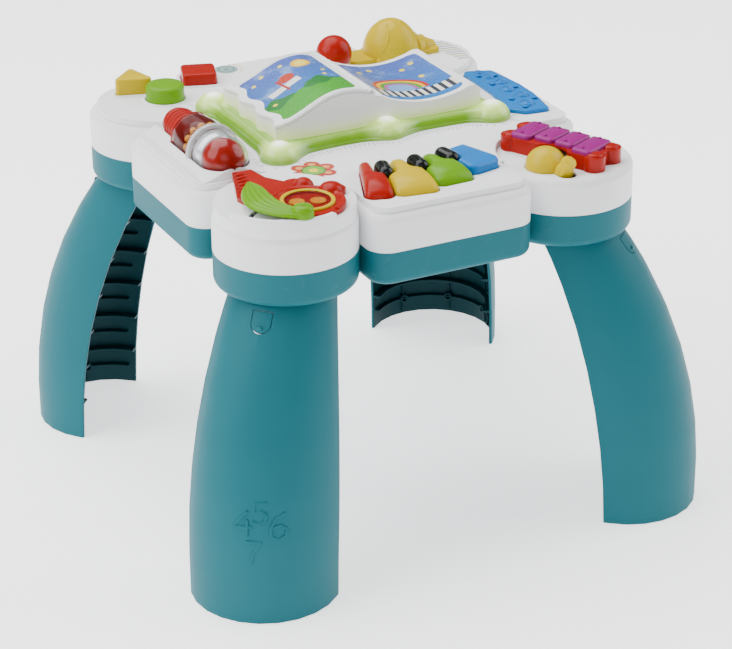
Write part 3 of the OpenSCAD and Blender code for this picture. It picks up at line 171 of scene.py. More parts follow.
def sizes():
    return bpy.context.scene.table_sizes


# ---------- shader expressions ----------


class Wire:
    """A shader socket that takes part in arithmetic"""

    def __init__(self, finish, socket):
        self.finish = finish
        self.socket = socket

    def __add__(self, other):
        return self.finish.math("ADD", self, other)

    def __sub__(self, other):
        return self.finish.math("SUBTRACT", self, other)

    def __rsub__(self, other):
        return self.finish.math("SUBTRACT", other, self)

    def __mul__(self, other):
        return self.finish.math("MULTIPLY", self, other)

    def __truediv__(self, other):
        return self.finish.math("DIVIDE", self, other)

    def __rtruediv__(self, other):
        return self.finish.math("DIVIDE", other, self)

    def __pow__(self, other):
        return self.finish.math("POWER", self, other)

    def __abs__(self):
        return self.finish.math("ABSOLUTE", self)

    __radd__ = __add__
    __rmul__ = __mul__


class Finish:
    """One material and the few ways its nodes are made"""

    def __init__(self, name):
        self.material = bpy.data.materials.new(name)
        self.material.use_nodes = True
        self.tree = self.material.node_tree
        self.tree.nodes.clear()
        self.output = self.tree.nodes.new("ShaderNodeOutputMaterial")
        self.position = self.add("ShaderNodeTexCoord", output="Object")
        split = self.add("ShaderNodeSeparateXYZ", None, {0: self.position}).socket.node
        self.x, self.y, self.z = (Wire(self, axis) for axis in split.outputs)

    def add(self, kind, settings=None, inputs=None, output=0):
        node = self.tree.nodes.new(kind)
        for key, value in (settings or {}).items():
            setattr(node, key, value)
        for key, value in (inputs or {}).items():
            if isinstance(value, Wire):
                self.tree.links.new(value.socket, node.inputs[key])
            elif value is not None:
                node.inputs[key].default_value = value
        return Wire(self, node.outputs[output])

    def math(self, operation, *values):
        return self.add("ShaderNodeMath", {"operation": operation}, dict(enumerate(values)))

    def clamp(self, value):
        return self.add("ShaderNodeClamp", None, {"Value": value})

    def step(self, value, soft):
        """0 where value is below -soft, 1 above soft"""
        return self.add("ShaderNodeMapRange", {"interpolation_type": "SMOOTHSTEP"},
                        {"Value": value, "From Min": -soft, "From Max": soft})

    def wave(self, place, pitch):
        """A sine of place that repeats every pitch millimetres"""
        return self.math("SINE", place * (2 * pi / (pitch * MM)))

    def distance(self, centre):
        """Distance in plan from a point given in millimetres"""
        dx = self.x - centre[0] * MM
        dy = self.y - centre[1] * MM
        return (dx * dx + dy * dy) ** 0.5

    def disc(self, centre, radius):
        """A round spot in plan"""
        return self.step(radius * MM - self.distance(centre), CRISP)

    def bar(self, centre, half, turn):
        """A bar with its middle at centre, half = half length and half width, turned by turn degrees"""
        c = cos(radians(turn))
        s = sin(radians(turn))
        dx = self.x - centre[0] * MM
        dy = self.y - centre[1] * MM
        along = abs(dx * c + dy * s)
        across = abs(dy * c - dx * s)
        return self.step(half[0] * MM - along, CRISP) * self.step(half[1] * MM - across, CRISP)

    def noise(self, size, detail=2.0, rough=0.5):
        """Noise of about 0 to 1 whose features are size millimetres across"""
        return self.add("ShaderNodeTexNoise", None, {"Vector": self.position, "Scale": 1 / (size * MM),
                                                     "Detail": detail, "Roughness": rough})

    def blend(self, mask, first, second):
        """The colour first where mask is 0, second where it is 1"""
        first, second = (c if isinstance(c, Wire) else (*c, 1.0) for c in (first, second))
        return self.add("ShaderNodeMix", {"data_type": "RGBA"}, {0: mask, 6: first, 7: second}, 2)

    def layers(self, ink, *prints):
        """Prints each (mask, colour) over what is there"""
        for mask, rgb in prints:
            ink = self.blend(mask, ink, rgb)
        return ink

    def bump(self, height, depth, below=None):
        """A Bump whose height of 1 stands depth millimetres proud"""
        return self.add("ShaderNodeBump", None, {"Height": height, "Distance": depth * MM, "Normal": below})

    def soft_edges(self, radius):
        return self.add("ShaderNodeBevel", {"samples": 4}, {"Radius": radius * MM})

    def surface(self, **inputs):
        named = {key.replace("_", " "): value for key, value in inputs.items()}
        shader = self.add("ShaderNodeBsdfPrincipled", None, named)
        self.tree.links.new(shader.socket, self.output.inputs["Surface"])
        return self.material


def shade(rgb, factor):
    return tuple(min(1.0, c * factor) for c in rgb)


_finishes = {}


def finish_once(make):
    """Makes a material the first time it is asked for"""

    def fetch(*values):
        key = (make.__name__, *values)
        if key not in _finishes:
            _finishes[key] = make(*values)
        return _finishes[key]

    return fetch


# ---------- finishes of the mouldings and metals ----------


@finish_once
def glossy_moulding(name):
    """Injection-moulded glossy plastic: faint flow marks, fine orange peel and soft scuffs"""
    f = Finish("glossy_" + name)
    base = tuple(getattr(colours(), name))
    flow = f.noise(26, 3)
    tint = f.blend(flow, shade(base, 0.90), shade(base, 1.08))
    scuff = f.step(f.noise(3.5, 6, rough=0.7) - 0.68, 0.08)
    peel = f.noise(1.1, 2)
    return f.surface(
        Base_Color=f.blend(scuff * 0.12, tint, shade(base, 1.5)),
        Roughness=f.clamp(0.25 + flow * 0.07 + scuff * 0.16),
        IOR=1.5,
        Specular_IOR_Level=0.13,
        Coat_Weight=f.clamp(0.07 - scuff * 0.06),
        Coat_Roughness=0.08,
        Subsurface_Weight=0.06,
        Subsurface_Radius=(0.004, 0.003, 0.002),
        Normal=f.bump(peel + flow * 2.0, 0.025, f.soft_edges(sizes().edge / MM * 0.4)),
    )


def satin_tint(f, base, grain):
    """Grain, flow marks and the colour that both give to satin plastic"""
    flow = f.noise(70, 3)
    speck = f.noise(grain, 4, rough=0.65)
    tint = f.blend(flow, shade(base, 0.93), shade(base, 1.06))
    return speck, flow, f.blend(speck * 0.25, tint, shade(base, 1.10))


@finish_once
def satin_moulding(name, grain):
    """Spark-eroded satin plastic with a grain of that size in millimetres"""
    f = Finish("satin_" + name)
    speck, flow, tint = satin_tint(f, tuple(getattr(colours(), name)), grain)
    dust = f.step(f.noise(9, 5, rough=0.75) - 0.66, 0.1)
    return f.surface(
        Base_Color=f.blend(dust * 0.025, tint, (0.85, 0.85, 0.85)),
        Roughness=f.clamp(0.40 + speck * 0.16 + dust * 0.08),
        Specular_IOR_Level=0.14,
        IOR=1.46,
        Subsurface_Weight=0.04,
        Subsurface_Radius=(0.004, 0.004, 0.004),
        Normal=f.bump(speck + flow, 0.05, f.soft_edges(sizes().edge / MM)),
    )


@finish_once
def leg_teal(edge):
    """Satin teal with edges of that rounding, and painted shade that darkens the ribbed inside of each leg's
    tube
    """
    f = Finish("leg_teal_%d" % (10 * edge))
    base = tuple(colours().teal)
    skin = 2.1 * MM
    beside = abs(f.y) - LEG["shift"] * MM
    across = (abs(f.x) - beside) * sqrt(0.5)
    along = (abs(f.x) + beside) * sqrt(0.5)
    rise = f.math("MAXIMUM", f.z - LEG["bow_z"] * MM, 0.0)
    taper = f.math("MAXIMUM", f.z - LEG["taper_z"] * MM, 0.0)
    crest = ((LEG["bow"] * MM) ** 2 - rise * rise) ** 0.5 + (LEG["spread"] - LEG["bow"]) * MM
    radius = ((LEG["taper"] * MM) ** 2 - taper * taper) ** 0.5 + (LEG["foot"] - LEG["taper"]) * MM
    out = along - (crest - radius)
    # painted shade: mask of the inside of each leg's tube, within the wall's skin
    inner = f.step(radius - skin - (out * out + across * across) ** 0.5, CRISP)
    speck, flow, tint = satin_tint(f, base, COARSE)
    return f.surface(
        # painted shade darkens the tube's inside to 0.12 of the teal
        Base_Color=f.blend(inner * 0.78, tint, shade(base, 0.12)),
        Roughness=f.clamp(0.42 + speck * 0.16),
        Specular_IOR_Level=0.12,
        Normal=f.bump(speck + flow, 0.05, f.soft_edges(edge)),
    )


@finish_once
def black_gloss():
    """Polished black plastic with faint smears"""
    f = Finish("black_gloss")
    haze = f.noise(5, 4, rough=0.7)
    smear = f.step(haze - 0.6, 0.12)
    return f.surface(
        Base_Color=f.blend(smear, (0.006, 0.007, 0.007), (0.016, 0.017, 0.018)),
        Roughness=f.clamp(0.13 + smear * 0.14),
        Specular_IOR_Level=0.2,
        Coat_Weight=0.08,
        Coat_Roughness=0.03,
        Normal=f.bump(haze, 0.015),
    )


@finish_once
def clear_shell():
    """Clear polystyrene with faint weld ripples and fine scratches"""
    f = Finish("clear_shell")
    ripple = f.noise(14, 2)
    scratch = f.step(f.noise(0.9, 5, rough=0.8) - 0.70, 0.05)
    return f.surface(
        Base_Color=f.blend(scratch, (0.96, 0.975, 0.985), (0.90, 0.91, 0.92)),
        Roughness=f.clamp(0.05 + scratch * 0.20),
        IOR=1.2,
        Transmission_Weight=1.0,
        Normal=f.bump(ripple, 0.03),
    )


@finish_once
def ring_plastic():
    """Smoky clear plastic of the roller's ring"""
    f = Finish("ring_plastic")
    haze = f.noise(6, 3)
    return f.surface(
        Base_Color=f.blend(haze, (0.62, 0.63, 0.66), (0.80, 0.81, 0.83)),
        Roughness=f.clamp(0.10 + haze * 0.10),
        Transmission_Weight=0.45,
        IOR=1.4,
        Coat_Weight=0.5,
        Normal=f.bump(haze, 0.03),
    )


@finish_once
def reflector_white():
    """Bright drum with fine turned lines"""
    f = Finish("reflector_white")
    lines = f.wave(f.y, 1.4)
    smear = f.noise(8, 4)
    return f.surface(
        Base_Color=f.blend(smear, (0.78, 0.79, 0.81), (0.92, 0.92, 0.93)),
        Metallic=f.clamp(0.25 + smear * 0.2),
        Roughness=f.clamp(0.16 + smear * 0.12),
        Normal=f.bump(lines * 0.5 + 0.5, 0.04),
    )


def lamp_light(f, reach):
    """1 over the middle of a lamp and 0 at reach millimetres from it"""
    light = 0.0
    for centre in LAMPS:
        light = f.math("MAXIMUM", light, f.clamp(1 - f.distance(centre) / (reach * MM)))
    return light


@finish_once
def lit_frame():
    """Translucent green plastic, bright round each lamp, with a painted highlight along its crest and painted
    shade at its foot
    """
    f = Finish("lit_frame")
    lamp, glow = tuple(colours().lamp), tuple(colours().glow)
    # painted highlight: the crest of the band is lifted towards the glow colour
    crest = f.step(f.z - (field_z + 8.4) * MM, 0.0016)
    # painted shade: the foot of the band, where it meets the deck, is darkened
    foot = f.step((field_z + 4.6) * MM - f.z, 0.0022)
    cloud = f.noise(18, 3)
    light = f.clamp(lamp_light(f, 33) ** 1.5 * 1.1 + crest * 0.16 + cloud * 0.12 - 0.06)
    # the painted shade of the foot takes the green down to 0.62, in colour and in glow
    tone = f.blend(foot * 0.55, f.blend(light, lamp, glow), shade(lamp, 0.62))
    return f.surface(
        Base_Color=tone,
        Roughness=f.clamp(0.20 + cloud * 0.10),
        Subsurface_Weight=0.2,
        Subsurface_Radius=(0.006, 0.008, 0.003),
        Coat_Weight=0.25,
        Emission_Color=tone,
        Emission_Strength=0.60,
        Normal=f.bump(f.noise(1.2, 2) + cloud, 0.03),
    )


@finish_once
def lamp_lens():
    """Frosted lens, white in the middle of each lamp and greener towards its edge"""
    f = Finish("lamp_lens")
    edge = tuple(lamp + (glow - lamp) * 0.72 for lamp, glow in zip(colours().lamp, colours().glow))
    frost = f.noise(1.6, 4, rough=0.7)
    tone = f.blend(f.clamp(lamp_light(f, 11) * 1.5 - 0.1 + frost * 0.1), edge, (0.96, 0.98, 0.86))
    return f.surface(
        Base_Color=tone,
        Roughness=f.clamp(0.28 + frost * 0.15),
        Subsurface_Weight=0.25,
        Subsurface_Radius=(0.006, 0.007, 0.004),
        Coat_Weight=0.3,
        Emission_Color=tone,
        Emission_Strength=1.2,
        Normal=f.bump(frost, 0.04),
    )


@finish_once
def book_white():
    """White moulding that takes a yellow-green light near the lit frame"""
    f = Finish("book_white")
    base = tuple(colours().white)
    speck = f.noise(0.6, 4, rough=0.65)
    lit = f.clamp(1 - (f.z - (field_z + 6) * MM) / (24 * MM)) ** 1.8
    tint = f.blend(f.noise(60, 3), shade(base, 0.95), shade(base, 1.05))
    return f.surface(
        Base_Color=f.blend(lit * 0.85, tint, (0.780, 0.860, 0.300)),
        Roughness=f.clamp(0.38 + speck * 0.14),
        Emission_Color=f.blend(lit * 0.55, (0.0, 0.0, 0.0), (0.620, 0.780, 0.160)),
        Emission_Strength=1.0,
        Normal=f.bump(speck, 0.04, f.soft_edges(sizes().edge / MM)),
    )


@finish_once
def steel():
    """Plated steel with a few dull stains"""
    f = Finish("plated_steel")
    grain = f.noise(1.0, 5, rough=0.7)
    stain = f.step(f.noise(7, 4) - 0.62, 0.1)
    return f.surface(
        Base_Color=f.blend(stain, (0.58, 0.59, 0.61), (0.42, 0.41, 0.39)),
        Metallic=1.0,
        Roughness=f.clamp(0.22 + grain * 0.14 + stain * 0.15),
        Normal=f.bump(grain, 0.02),
    )


@finish_once
def dull_part(name, base, rough, grain):
    """Rubber and dark plastic, and the near-black sheet of painted shade in the lever's slot, with a grain of
    that size in millimetres
    """
    f = Finish(name)
    speck = f.noise(grain, 5, rough=0.7)
    cloud = f.noise(grain * 12, 3)
    return f.surface(
        Base_Color=f.blend(f.clamp(speck * 0.5 + cloud * 0.4), shade(base, 0.8), shade(base, 1.25)),
        Roughness=f.clamp(rough + speck * 0.12),
        Normal=f.bump(speck, 0.04),
    )


@finish_once
def circuit_board():
    """Green mask with a grid of copper tracks and pads"""
    f = Finish("circuit_board")
    track = f.step(0.22 - abs(f.math("FRACT", f.x / (3.2 * MM) + f.noise(30, 1)) - 0.5), 0.03)
    pads = f.step(0.16 - f.add("ShaderNodeTexVoronoi", None, {"Vector": f.position, "Scale": 160.0}), 0.03)
    board = f.blend(track, (0.012, 0.10, 0.035), (0.03, 0.19, 0.06))
    return f.surface(
        Base_Color=f.blend(pads, board, (0.72, 0.55, 0.30)),
        Metallic=pads * 0.8,
        Roughness=f.clamp(0.34 + track * 0.1 - pads * 0.1),
        Normal=f.bump(track + pads, 0.05),
    )


@finish_once
def cell_sleeve():
    """Dark cell sleeve with a copper-coloured band and a wrinkled shrink film"""
    f = Finish("cell_sleeve")
    band = f.step(f.x + 62 * MM, 0.0006)
    film = f.noise(2, 4)
    return f.surface(
        Base_Color=f.blend(band, (0.018, 0.020, 0.024), (0.42, 0.20, 0.07)),
        Metallic=band * 0.5,
        Roughness=f.clamp(0.28 + film * 0.12),
        Normal=f.bump(film, 0.03),
    )


# ---------- page and deck prints ----------


def page_sky(f):
    """Blue ground that turns violet towards the back, with pale clouds"""
    back = f.clamp((f.y + 10 * MM) / (100 * MM))
    ground = f.blend(back, tuple(colours().sky), (0.073, 0.115, 0.431))
    cloud = f.step(f.noise(22, 4, rough=0.6) - 0.60, 0.10)
    return f.blend(cloud * 0.35, ground, (0.420, 0.621, 0.858))


def page_film(f, ink):
    """Glossy film over the ink of a page"""
    gloss = f.noise(3, 3)
    return f.surface(Base_Color=ink, Roughness=f.clamp(0.20 + gloss * 0.12), Coat_Weight=0.3,
                     Normal=f.bump(gloss, 0.02))


@finish_once
def left_page_print():
    """Sea picture: hills, a sun, a boat and stars on blue film"""
    f = Finish("left_page_print")
    hills = f.wave(f.x, 46) * 0.006 + f.wave(f.x, 17) * 0.0015
    stars = ((-80, 66), (-68, 74), (-48, 72), (-18, 34), (-22, 22), (-82, 10))
    return page_film(f, f.layers(
        page_sky(f),
        (f.step(hills + 14 * MM - f.y, 0.0005), (0.013, 0.175, 0.026)),
        (f.step(hills * -0.8 + 4 * MM - f.y, 0.0005), (0.046, 0.335, 0.017)),
        (f.disc((-30, 62), 10), (0.858, 0.524, 0.013)),
        (f.disc((-30, 62), 6.5), (0.943, 0.750, 0.111)),
        (f.bar((-62, 30), (17, 5), 6), (0.831, 0.831, 0.804)),
        (f.bar((-62, 35), (1.2, 14), 6), (0.431, 0.017, 0.006)),
        (f.disc((-54, 44), 8), (0.500, 0.035, 0.013)),
        *((f.disc(star, 2.4), (0.900, 0.724, 0.070)) for star in stars),
    ))


@finish_once
def right_page_print():
    """Picture of a rainbow over a striped path on blue film"""
    f = Finish("right_page_print")
    arc = f.distance((58, 8))
    above = f.step(f.y - 4 * MM, CRISP)
    bands = ((30, (0.477, 0.021, 0.009)), (26, (0.858, 0.477, 0.013)), (22, (0.070, 0.324, 0.017)),
             (18, (0.431, 0.097, 0.366)))
    stripe = f.step(f.math("FRACT", f.x / (9 * MM)) - 0.5, 0.03)
    stars = ((36, 60), (52, 70), (84, 58), (92, 30), (98, 66))
    return page_film(f, f.layers(
        page_sky(f),
        *((f.step(radius * MM - arc, CRISP) * above, rgb) for radius, rgb in bands),
        (f.step(14 * MM - arc, CRISP), (0.175, 0.387, 0.724)),
        (f.step(9 * MM - abs(f.y + 8 * MM), CRISP),
         f.blend(stripe, (0.858, 0.831, 0.724), (0.035, 0.041, 0.058))),
        *((f.disc(star, 3.2), (0.886, 0.672, 0.046)) for star in stars),
    ))


@finish_once
def badge_print():
    """Flower badge beside the strummer: red petals round a green and yellow middle"""
    f = Finish("badge_print")
    grain = f.noise(2, 3)
    tone = f.blend(grain, (0.777, 0.790, 0.804), (0.724, 0.737, 0.763))
    for petal in badge_petals():
        tone = f.layers(tone, (f.disc(petal, 8.0), (0.454, 0.013, 0.006)),
                        (f.disc(petal, 3.8), (0.724, 0.284, 0.097)))
    middle = ((12.0, (0.011, 0.111, 0.013)), (10.6, (0.134, 0.431, 0.026)), (4.6, (0.858, 0.596, 0.026)))
    tone = f.layers(tone, *((f.disc(BADGE["centre"], radius), rgb) for radius, rgb in middle))
    return f.surface(Base_Color=tone, Roughness=f.clamp(0.24 + grain * 0.1), Normal=f.bump(grain, 0.02))


@finish_once
def roundel_print(centre):
    """Small grey-green roundel with a plain ring and a dot"""
    f = Finish("roundel_print")
    ring = f.step(1.0 * MM - abs(f.distance(centre) - 8.5 * MM), CRISP)
    grain = f.noise(1.5, 3)
    tone = f.blend(f.math("MAXIMUM", ring, f.disc(centre, 3.0)), (0.284, 0.420, 0.387), (0.046, 0.192, 0.175))
    return f.surface(Base_Color=f.blend(grain * 0.2, tone, (0.596, 0.659, 0.621)), Roughness=0.3,
                     Normal=f.bump(grain, 0.02))


@finish_once
def ink_print(name, rgb):
    """Plain printed ink with a little mottle"""
    f = Finish("ink_" + name)
    mottle = f.noise(1.8, 4)
    return f.surface(Base_Color=f.blend(mottle * 0.35, rgb, (0.80, 0.80, 0.82)),
                     Roughness=f.clamp(0.30 + mottle * 0.1), Normal=f.bump(mottle, 0.01))


# ---------- mesh makers; they take millimetres ----------


def add_piece(name, mesh, body, material, replaces=(), smooth=40.0):
    """Turns a bmesh in millimetres into a piece that rides on a body"""
    bmesh.ops.scale(mesh, vec=(MM, MM, MM), verts=mesh.verts)
    bmesh.ops.recalc_face_normals(mesh, faces=mesh.faces)
    for face in mesh.faces:
        face.smooth = True
    limit = radians(smooth)
    for edge in mesh.edges:
        if len(edge.link_faces) == 2 and edge.calc_face_angle() > limit:
            edge.smooth = False
    data = bpy.data.meshes.new(name)
    mesh.to_mesh(data)
    mesh.free()
    piece = bpy.data.objects.new(name, data)
    bpy.context.scene.collection.objects.link(piece)
    data.materials.append(material)
    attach(piece, body)
    if replaces:
        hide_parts(*replaces)
    return piece


def add_toy(name, mesh, tint, body="deck", replaces=(), smooth=40.0):
    """A glossy moulding in one of the table's colours"""
    return add_piece(name, mesh, body, glossy_moulding(tint), replaces, smooth)


def add_rings(mesh, rings, first_cap=False, last_cap=False):
    """Joins closed rings of as many points each with faces"""
    loops = [[mesh.verts.new(p) for p in ring] for ring in rings]
    count = len(loops[0])
    for a, b in zip(loops, loops[1:]):
        for k in range(count):
            m = (k + 1) % count
            mesh.faces.new((a[k], a[m], b[m], b[k]))
    if first_cap:
        mesh.faces.new(loops[0][::-1])
    if last_cap:
        mesh.faces.new(loops[-1])
    return loops


def add_solid(mesh, rings):
    return add_rings(mesh, rings, first_cap=True, last_cap=True)


def add_lathe(mesh, profile, base, segments, axis=UP):
    """Turns a profile of (radius, height) round an axis through base; radius 0 closes it"""
    axis = Vector(axis).normalized()
    side = axis.orthogonal().normalized()
    other = axis.cross(side)
    rows = []
    for radius, height in profile:
        centre = Vector(base) + axis * height
        ring = oval(centre, side * radius, other * radius, segments) if radius > 1e-6 else [centre]
        rows.append([mesh.verts.new(p) for p in ring])
    for a, b in zip(rows, rows[1:]):
        for k in range(segments):
            m = (k + 1) % segments
            corners = [a[k % len(a)], a[m % len(a)], b[m % len(b)], b[k % len(b)]]
            corners = list(dict.fromkeys(corners))
            if len(corners) > 2:
                mesh.faces.new(corners)


def oval(centre, first, second, count, half=False):
    """Points of an oval spanned by two vectors, or of the half of it on the second's side"""
    turn, places = (pi, count + 1) if half else (2 * pi, count)
    angles = (turn * k / count for k in range(places))
    return [centre + first * cos(a) + second * sin(a) for a in angles]


def arc_points(centre, radius, start, end, count, height=None):
    """Points of an arc, angles in degrees; height makes it a part of an ellipse"""
    turns = [radians(start + (end - start) * k / count) for k in range(count + 1)]
    return [(centre[0] + radius * cos(a), centre[1] + (height or radius) * sin(a)) for a in turns]


def on_curve(points, place, closed=False):
    """A place on a smooth curve through the points, which lie at places 0, 1, 2 and on"""
    count = len(points)
    k = int(place) if closed else min(int(place), count - 2)
    t = place - k
    near = ((k + i) % count if closed else max(0, min(count - 1, k + i)) for i in (-1, 0, 1, 2))
    a, b, c, d = (Vector(points[n]) for n in near)
    bend = (2 * a - 5 * b + 4 * c - d) * t * t + (3 * b - a - 3 * c + d) * t ** 3
    return 0.5 * (2 * b + (c - a) * t + bend)


def rounded_outline(corners, radius, arc, spacing):
    """A counterclockwise polygon grown by radius, with round corners and evenly split sides"""
    out = []
    count = len(corners)
    for k in range(count):
        before, here, after = (Vector(corners[(k + j) % count]) for j in (-1, 0, 1))
        d0 = (here - before).normalized()
        d1 = (after - here).normalized()
        a0 = atan2(-d0.x, d0.y)
        turn = (atan2(-d1.x, d1.y) - a0 + pi) % (2 * pi) - pi
        bends = [a0 + turn / 2] if turn < 0 else [a0 + turn * j / arc for j in range(arc + 1)]
        out.extend(here + Vector((cos(a), sin(a))) * radius for a in bends)
        end = here + Vector((d1.y, -d1.x)) * radius
        reach = (after - here).length
        pieces = max(1, int(reach / spacing))
        out.extend(end + d1 * reach * j / pieces for j in range(1, pieces))
    return [(p.x, p.y) for p in out]


def rounded_box(half_x, half_y, radius, arc, spacing):
    """A box of those half sizes, grown by radius with round corners"""
    corners = [(-half_x, -half_y), (half_x, -half_y), (half_x, half_y), (-half_x, half_y)]
    return rounded_outline(corners, radius, arc, spacing)


def inset_outline(points, distance):
    """The outline moved in by distance along its normals"""
    count = len(points)
    out = []
    for k in range(count):
        before, here, after = (Vector(points[(k + j) % count]) for j in (-1, 0, 1))
        along = (after - before).normalized()
        out.append((here.x - along.y * distance, here.y + along.x * distance))
    return out


def lip_rings(outline, profile, z):
    """Rings round an outline from a profile of (inset, height)"""
    return [[(x, y, z + height) for x, y in inset_outline(outline, inset)] for inset, height in profile]


def add_cushion(mesh, outline, z0, z1, top=2.0, crown=0.0, steps=5):
    """A solid from a plan outline, with a rounded edge of radius top and a crown above it"""
    rings = [[(x, y, z0) for x, y in outline]]
    turns = [pi / 2 * j / steps for j in range(steps + 1)]
    rings += lip_rings(outline, [(top * (1 - cos(a)), top * sin(a) - top) for a in turns], z1)
    if not crown:
        add_solid(mesh, rings)
        return
    inner = inset_outline(outline, top)
    cx = sum(p[0] for p in inner) / len(inner)
    cy = sum(p[1] for p in inner) / len(inner)
    for j in range(1, steps + 2):
        t = 1 - j / (steps + 2)
        rings.append([(cx + (x - cx) * t, cy + (y - cy) * t, z1 + crown * (1 - t * t)) for x, y in inner])
    last = add_rings(mesh, rings, first_cap=True)[-1]
    tip = mesh.verts.new((cx, cy, z1 + crown))
    for k in range(len(last)):
        mesh.faces.new((last[k], last[(k + 1) % len(last)], tip))


def fan_place(radius, turn):
    """A point of the keyboard's fan, turn degrees from its middle line"""
    x, y = KEYBOARD["centre"]
    return (x + radius * sin(radians(turn)), y - radius * cos(radians(turn)))


def turned(points, centre, turn):
    """The points turned by turn degrees and moved to centre"""
    c = cos(radians(turn))
    s = sin(radians(turn))
    return [(centre[0] + x * c - y * s, centre[1] + x * s + y * c) for x, y in points]


def quarter_circle_sink(radius, distance):
    """How far a rounded edge of radius lies below its flat at that distance from the edge"""
    return radius - sqrt(radius ** 2 - (radius - distance) ** 2) if distance < radius else 0.0


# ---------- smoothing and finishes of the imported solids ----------


def smoothing_group():
    """Geometry nodes that weld a solid's facets and shade it smooth up to an angle"""
    name = "smooth_facets"
    if name in bpy.data.node_groups:
        return bpy.data.node_groups[name]
    group = bpy.data.node_groups.new(name, "GeometryNodeTree")
    for way in ("INPUT", "OUTPUT"):
        group.interface.new_socket("Geometry", in_out=way, socket_type="NodeSocketGeometry")
    kinds = ("NodeGroupInput", "GeometryNodeMergeByDistance", "GeometryNodeRemoveAttribute",
             "GeometryNodeSetShadeSmooth", "GeometryNodeSetShadeSmooth", "NodeGroupOutput",
             "GeometryNodeInputMeshEdgeAngle", "FunctionNodeCompare")
    start, weld, drop, flat, edges, end, bend, less = (group.nodes.new(kind) for kind in kinds)
    weld.inputs["Distance"].default_value = 2e-6
    drop.inputs["Name"].default_value = "custom_normal"
    flat.domain = "FACE"
    edges.domain = "EDGE"
    less.operation = "LESS_THAN"
    less.inputs[1].default_value = radians(32)
    chain = (start, weld, drop, flat, edges, end)
    for before, after in zip(chain, chain[1:]):
        group.links.new(before.outputs[0], after.inputs[0])
    group.links.new(bend.outputs["Unsigned Angle"], less.inputs[0])
    group.links.new(less.outputs[0], edges.inputs["Shade Smooth"])
    return group


def finish_node(node, material, smooth=True):
    """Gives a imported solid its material"""
    solid = frame["nodes"][node]
    solid.data.materials.clear()
    solid.data.materials.append(material)
    if smooth:
        modifier = solid.modifiers.new("smooth_facets", "NODES")
        modifier.node_group = smoothing_group()


# ---------- forms that several pieces share ----------


def leaf_top(x):
    """Height of the page leaf above x"""
    crest = BOOK["crest"]
    if x < crest:
        t = (x - BOOK["left"]) / (crest - BOOK["left"])
        return field_z + BOOK["leaf_low"] + BOOK["leaf_rise"] * (1 - cos(pi * t)) / 2
    t = (x - crest) / (BOOK["spine"] - crest)
    return field_z + BOOK["leaf_low"] + BOOK["leaf_rise"] - BOOK["leaf_fall"] * t ** 2


def page_top(x):
    """Height of the fixed right page above x"""
    t = (x - BOOK["page_dip"]) / BOOK["page_run"]
    return field_z + BOOK["page_low"] + BOOK["page_rise"] * t ** 2


def leg_crest(z):
    """How far a leg's outermost line stands from the deck's middle at that height"""
    rise = max(0.0, z - LEG["bow_z"])
    return LEG["spread"] - LEG["bow"] + sqrt(LEG["bow"] ** 2 - rise ** 2)


def leg_radius(z):
    rise = max(0.0, z - LEG["taper_z"])
    return LEG["foot"] - LEG["taper"] + sqrt(LEG["taper"] ** 2 - rise ** 2)


def leg_place(corner, radius, turn, z):
    """A point of a leg's tube, by radius from its middle line and degrees from its corner's diagonal"""
    along = leg_crest(z) - leg_radius(z) + radius * cos(radians(turn))
    across = radius * sin(radians(turn))
    sx, sy = CORNERS[corner]
    x, y = turned([(along, across)], (0, LEG["shift"] * sy), degrees(atan2(sy, sx)))[0]
    return Vector((x, y, z))


def frame_path(count=240):
    """Points of the green frame's outer edge, through the lamps and hollowed between them"""
    knots = ((-106, -50), (-76, -43), (-45, -40), (-12, -40), (17, -42), (46, -40), (76, -39.5), (106, -41),
             (133, -45), (136, -14), (134.5, 32), (136, 80), (133, 108), (104, 102), (74, 99), (44, 100),
             (14, 103), (-20, 100), (-50, 99), (-80, 102), (-107, 106), (-110.5, 76), (-109.5, 28),
             (-110.5, -20))
    return [on_curve(knots, k * len(knots) / count, closed=True) for k in range(count)]


def path_sides(path):
    """Each point of a closed path with its direction and the direction outwards"""
    for k, point in enumerate(path):
        along = (path[(k + 1) % len(path)] - path[k - 1]).normalized()
        yield k, point, along, Vector((along.y, -along.x))


def lamp_nearness(p):
    """1 over a lamp, 0 well away from all of them"""
    near = min(hypot(p[0] - x, p[1] - y) for x, y in LAMPS)
    return max(0.0, 1 - near / 34) ** 1.5


def badge_petals():
    """Middles of the badge's petals"""
    turns = (BADGE["turn"] + 360 / BADGE["petals"] * k for k in range(BADGE["petals"]))
    return [turned([(BADGE["reach"], 0)], BADGE["centre"], turn)[0] for turn in turns]


# ---------- operators ----------


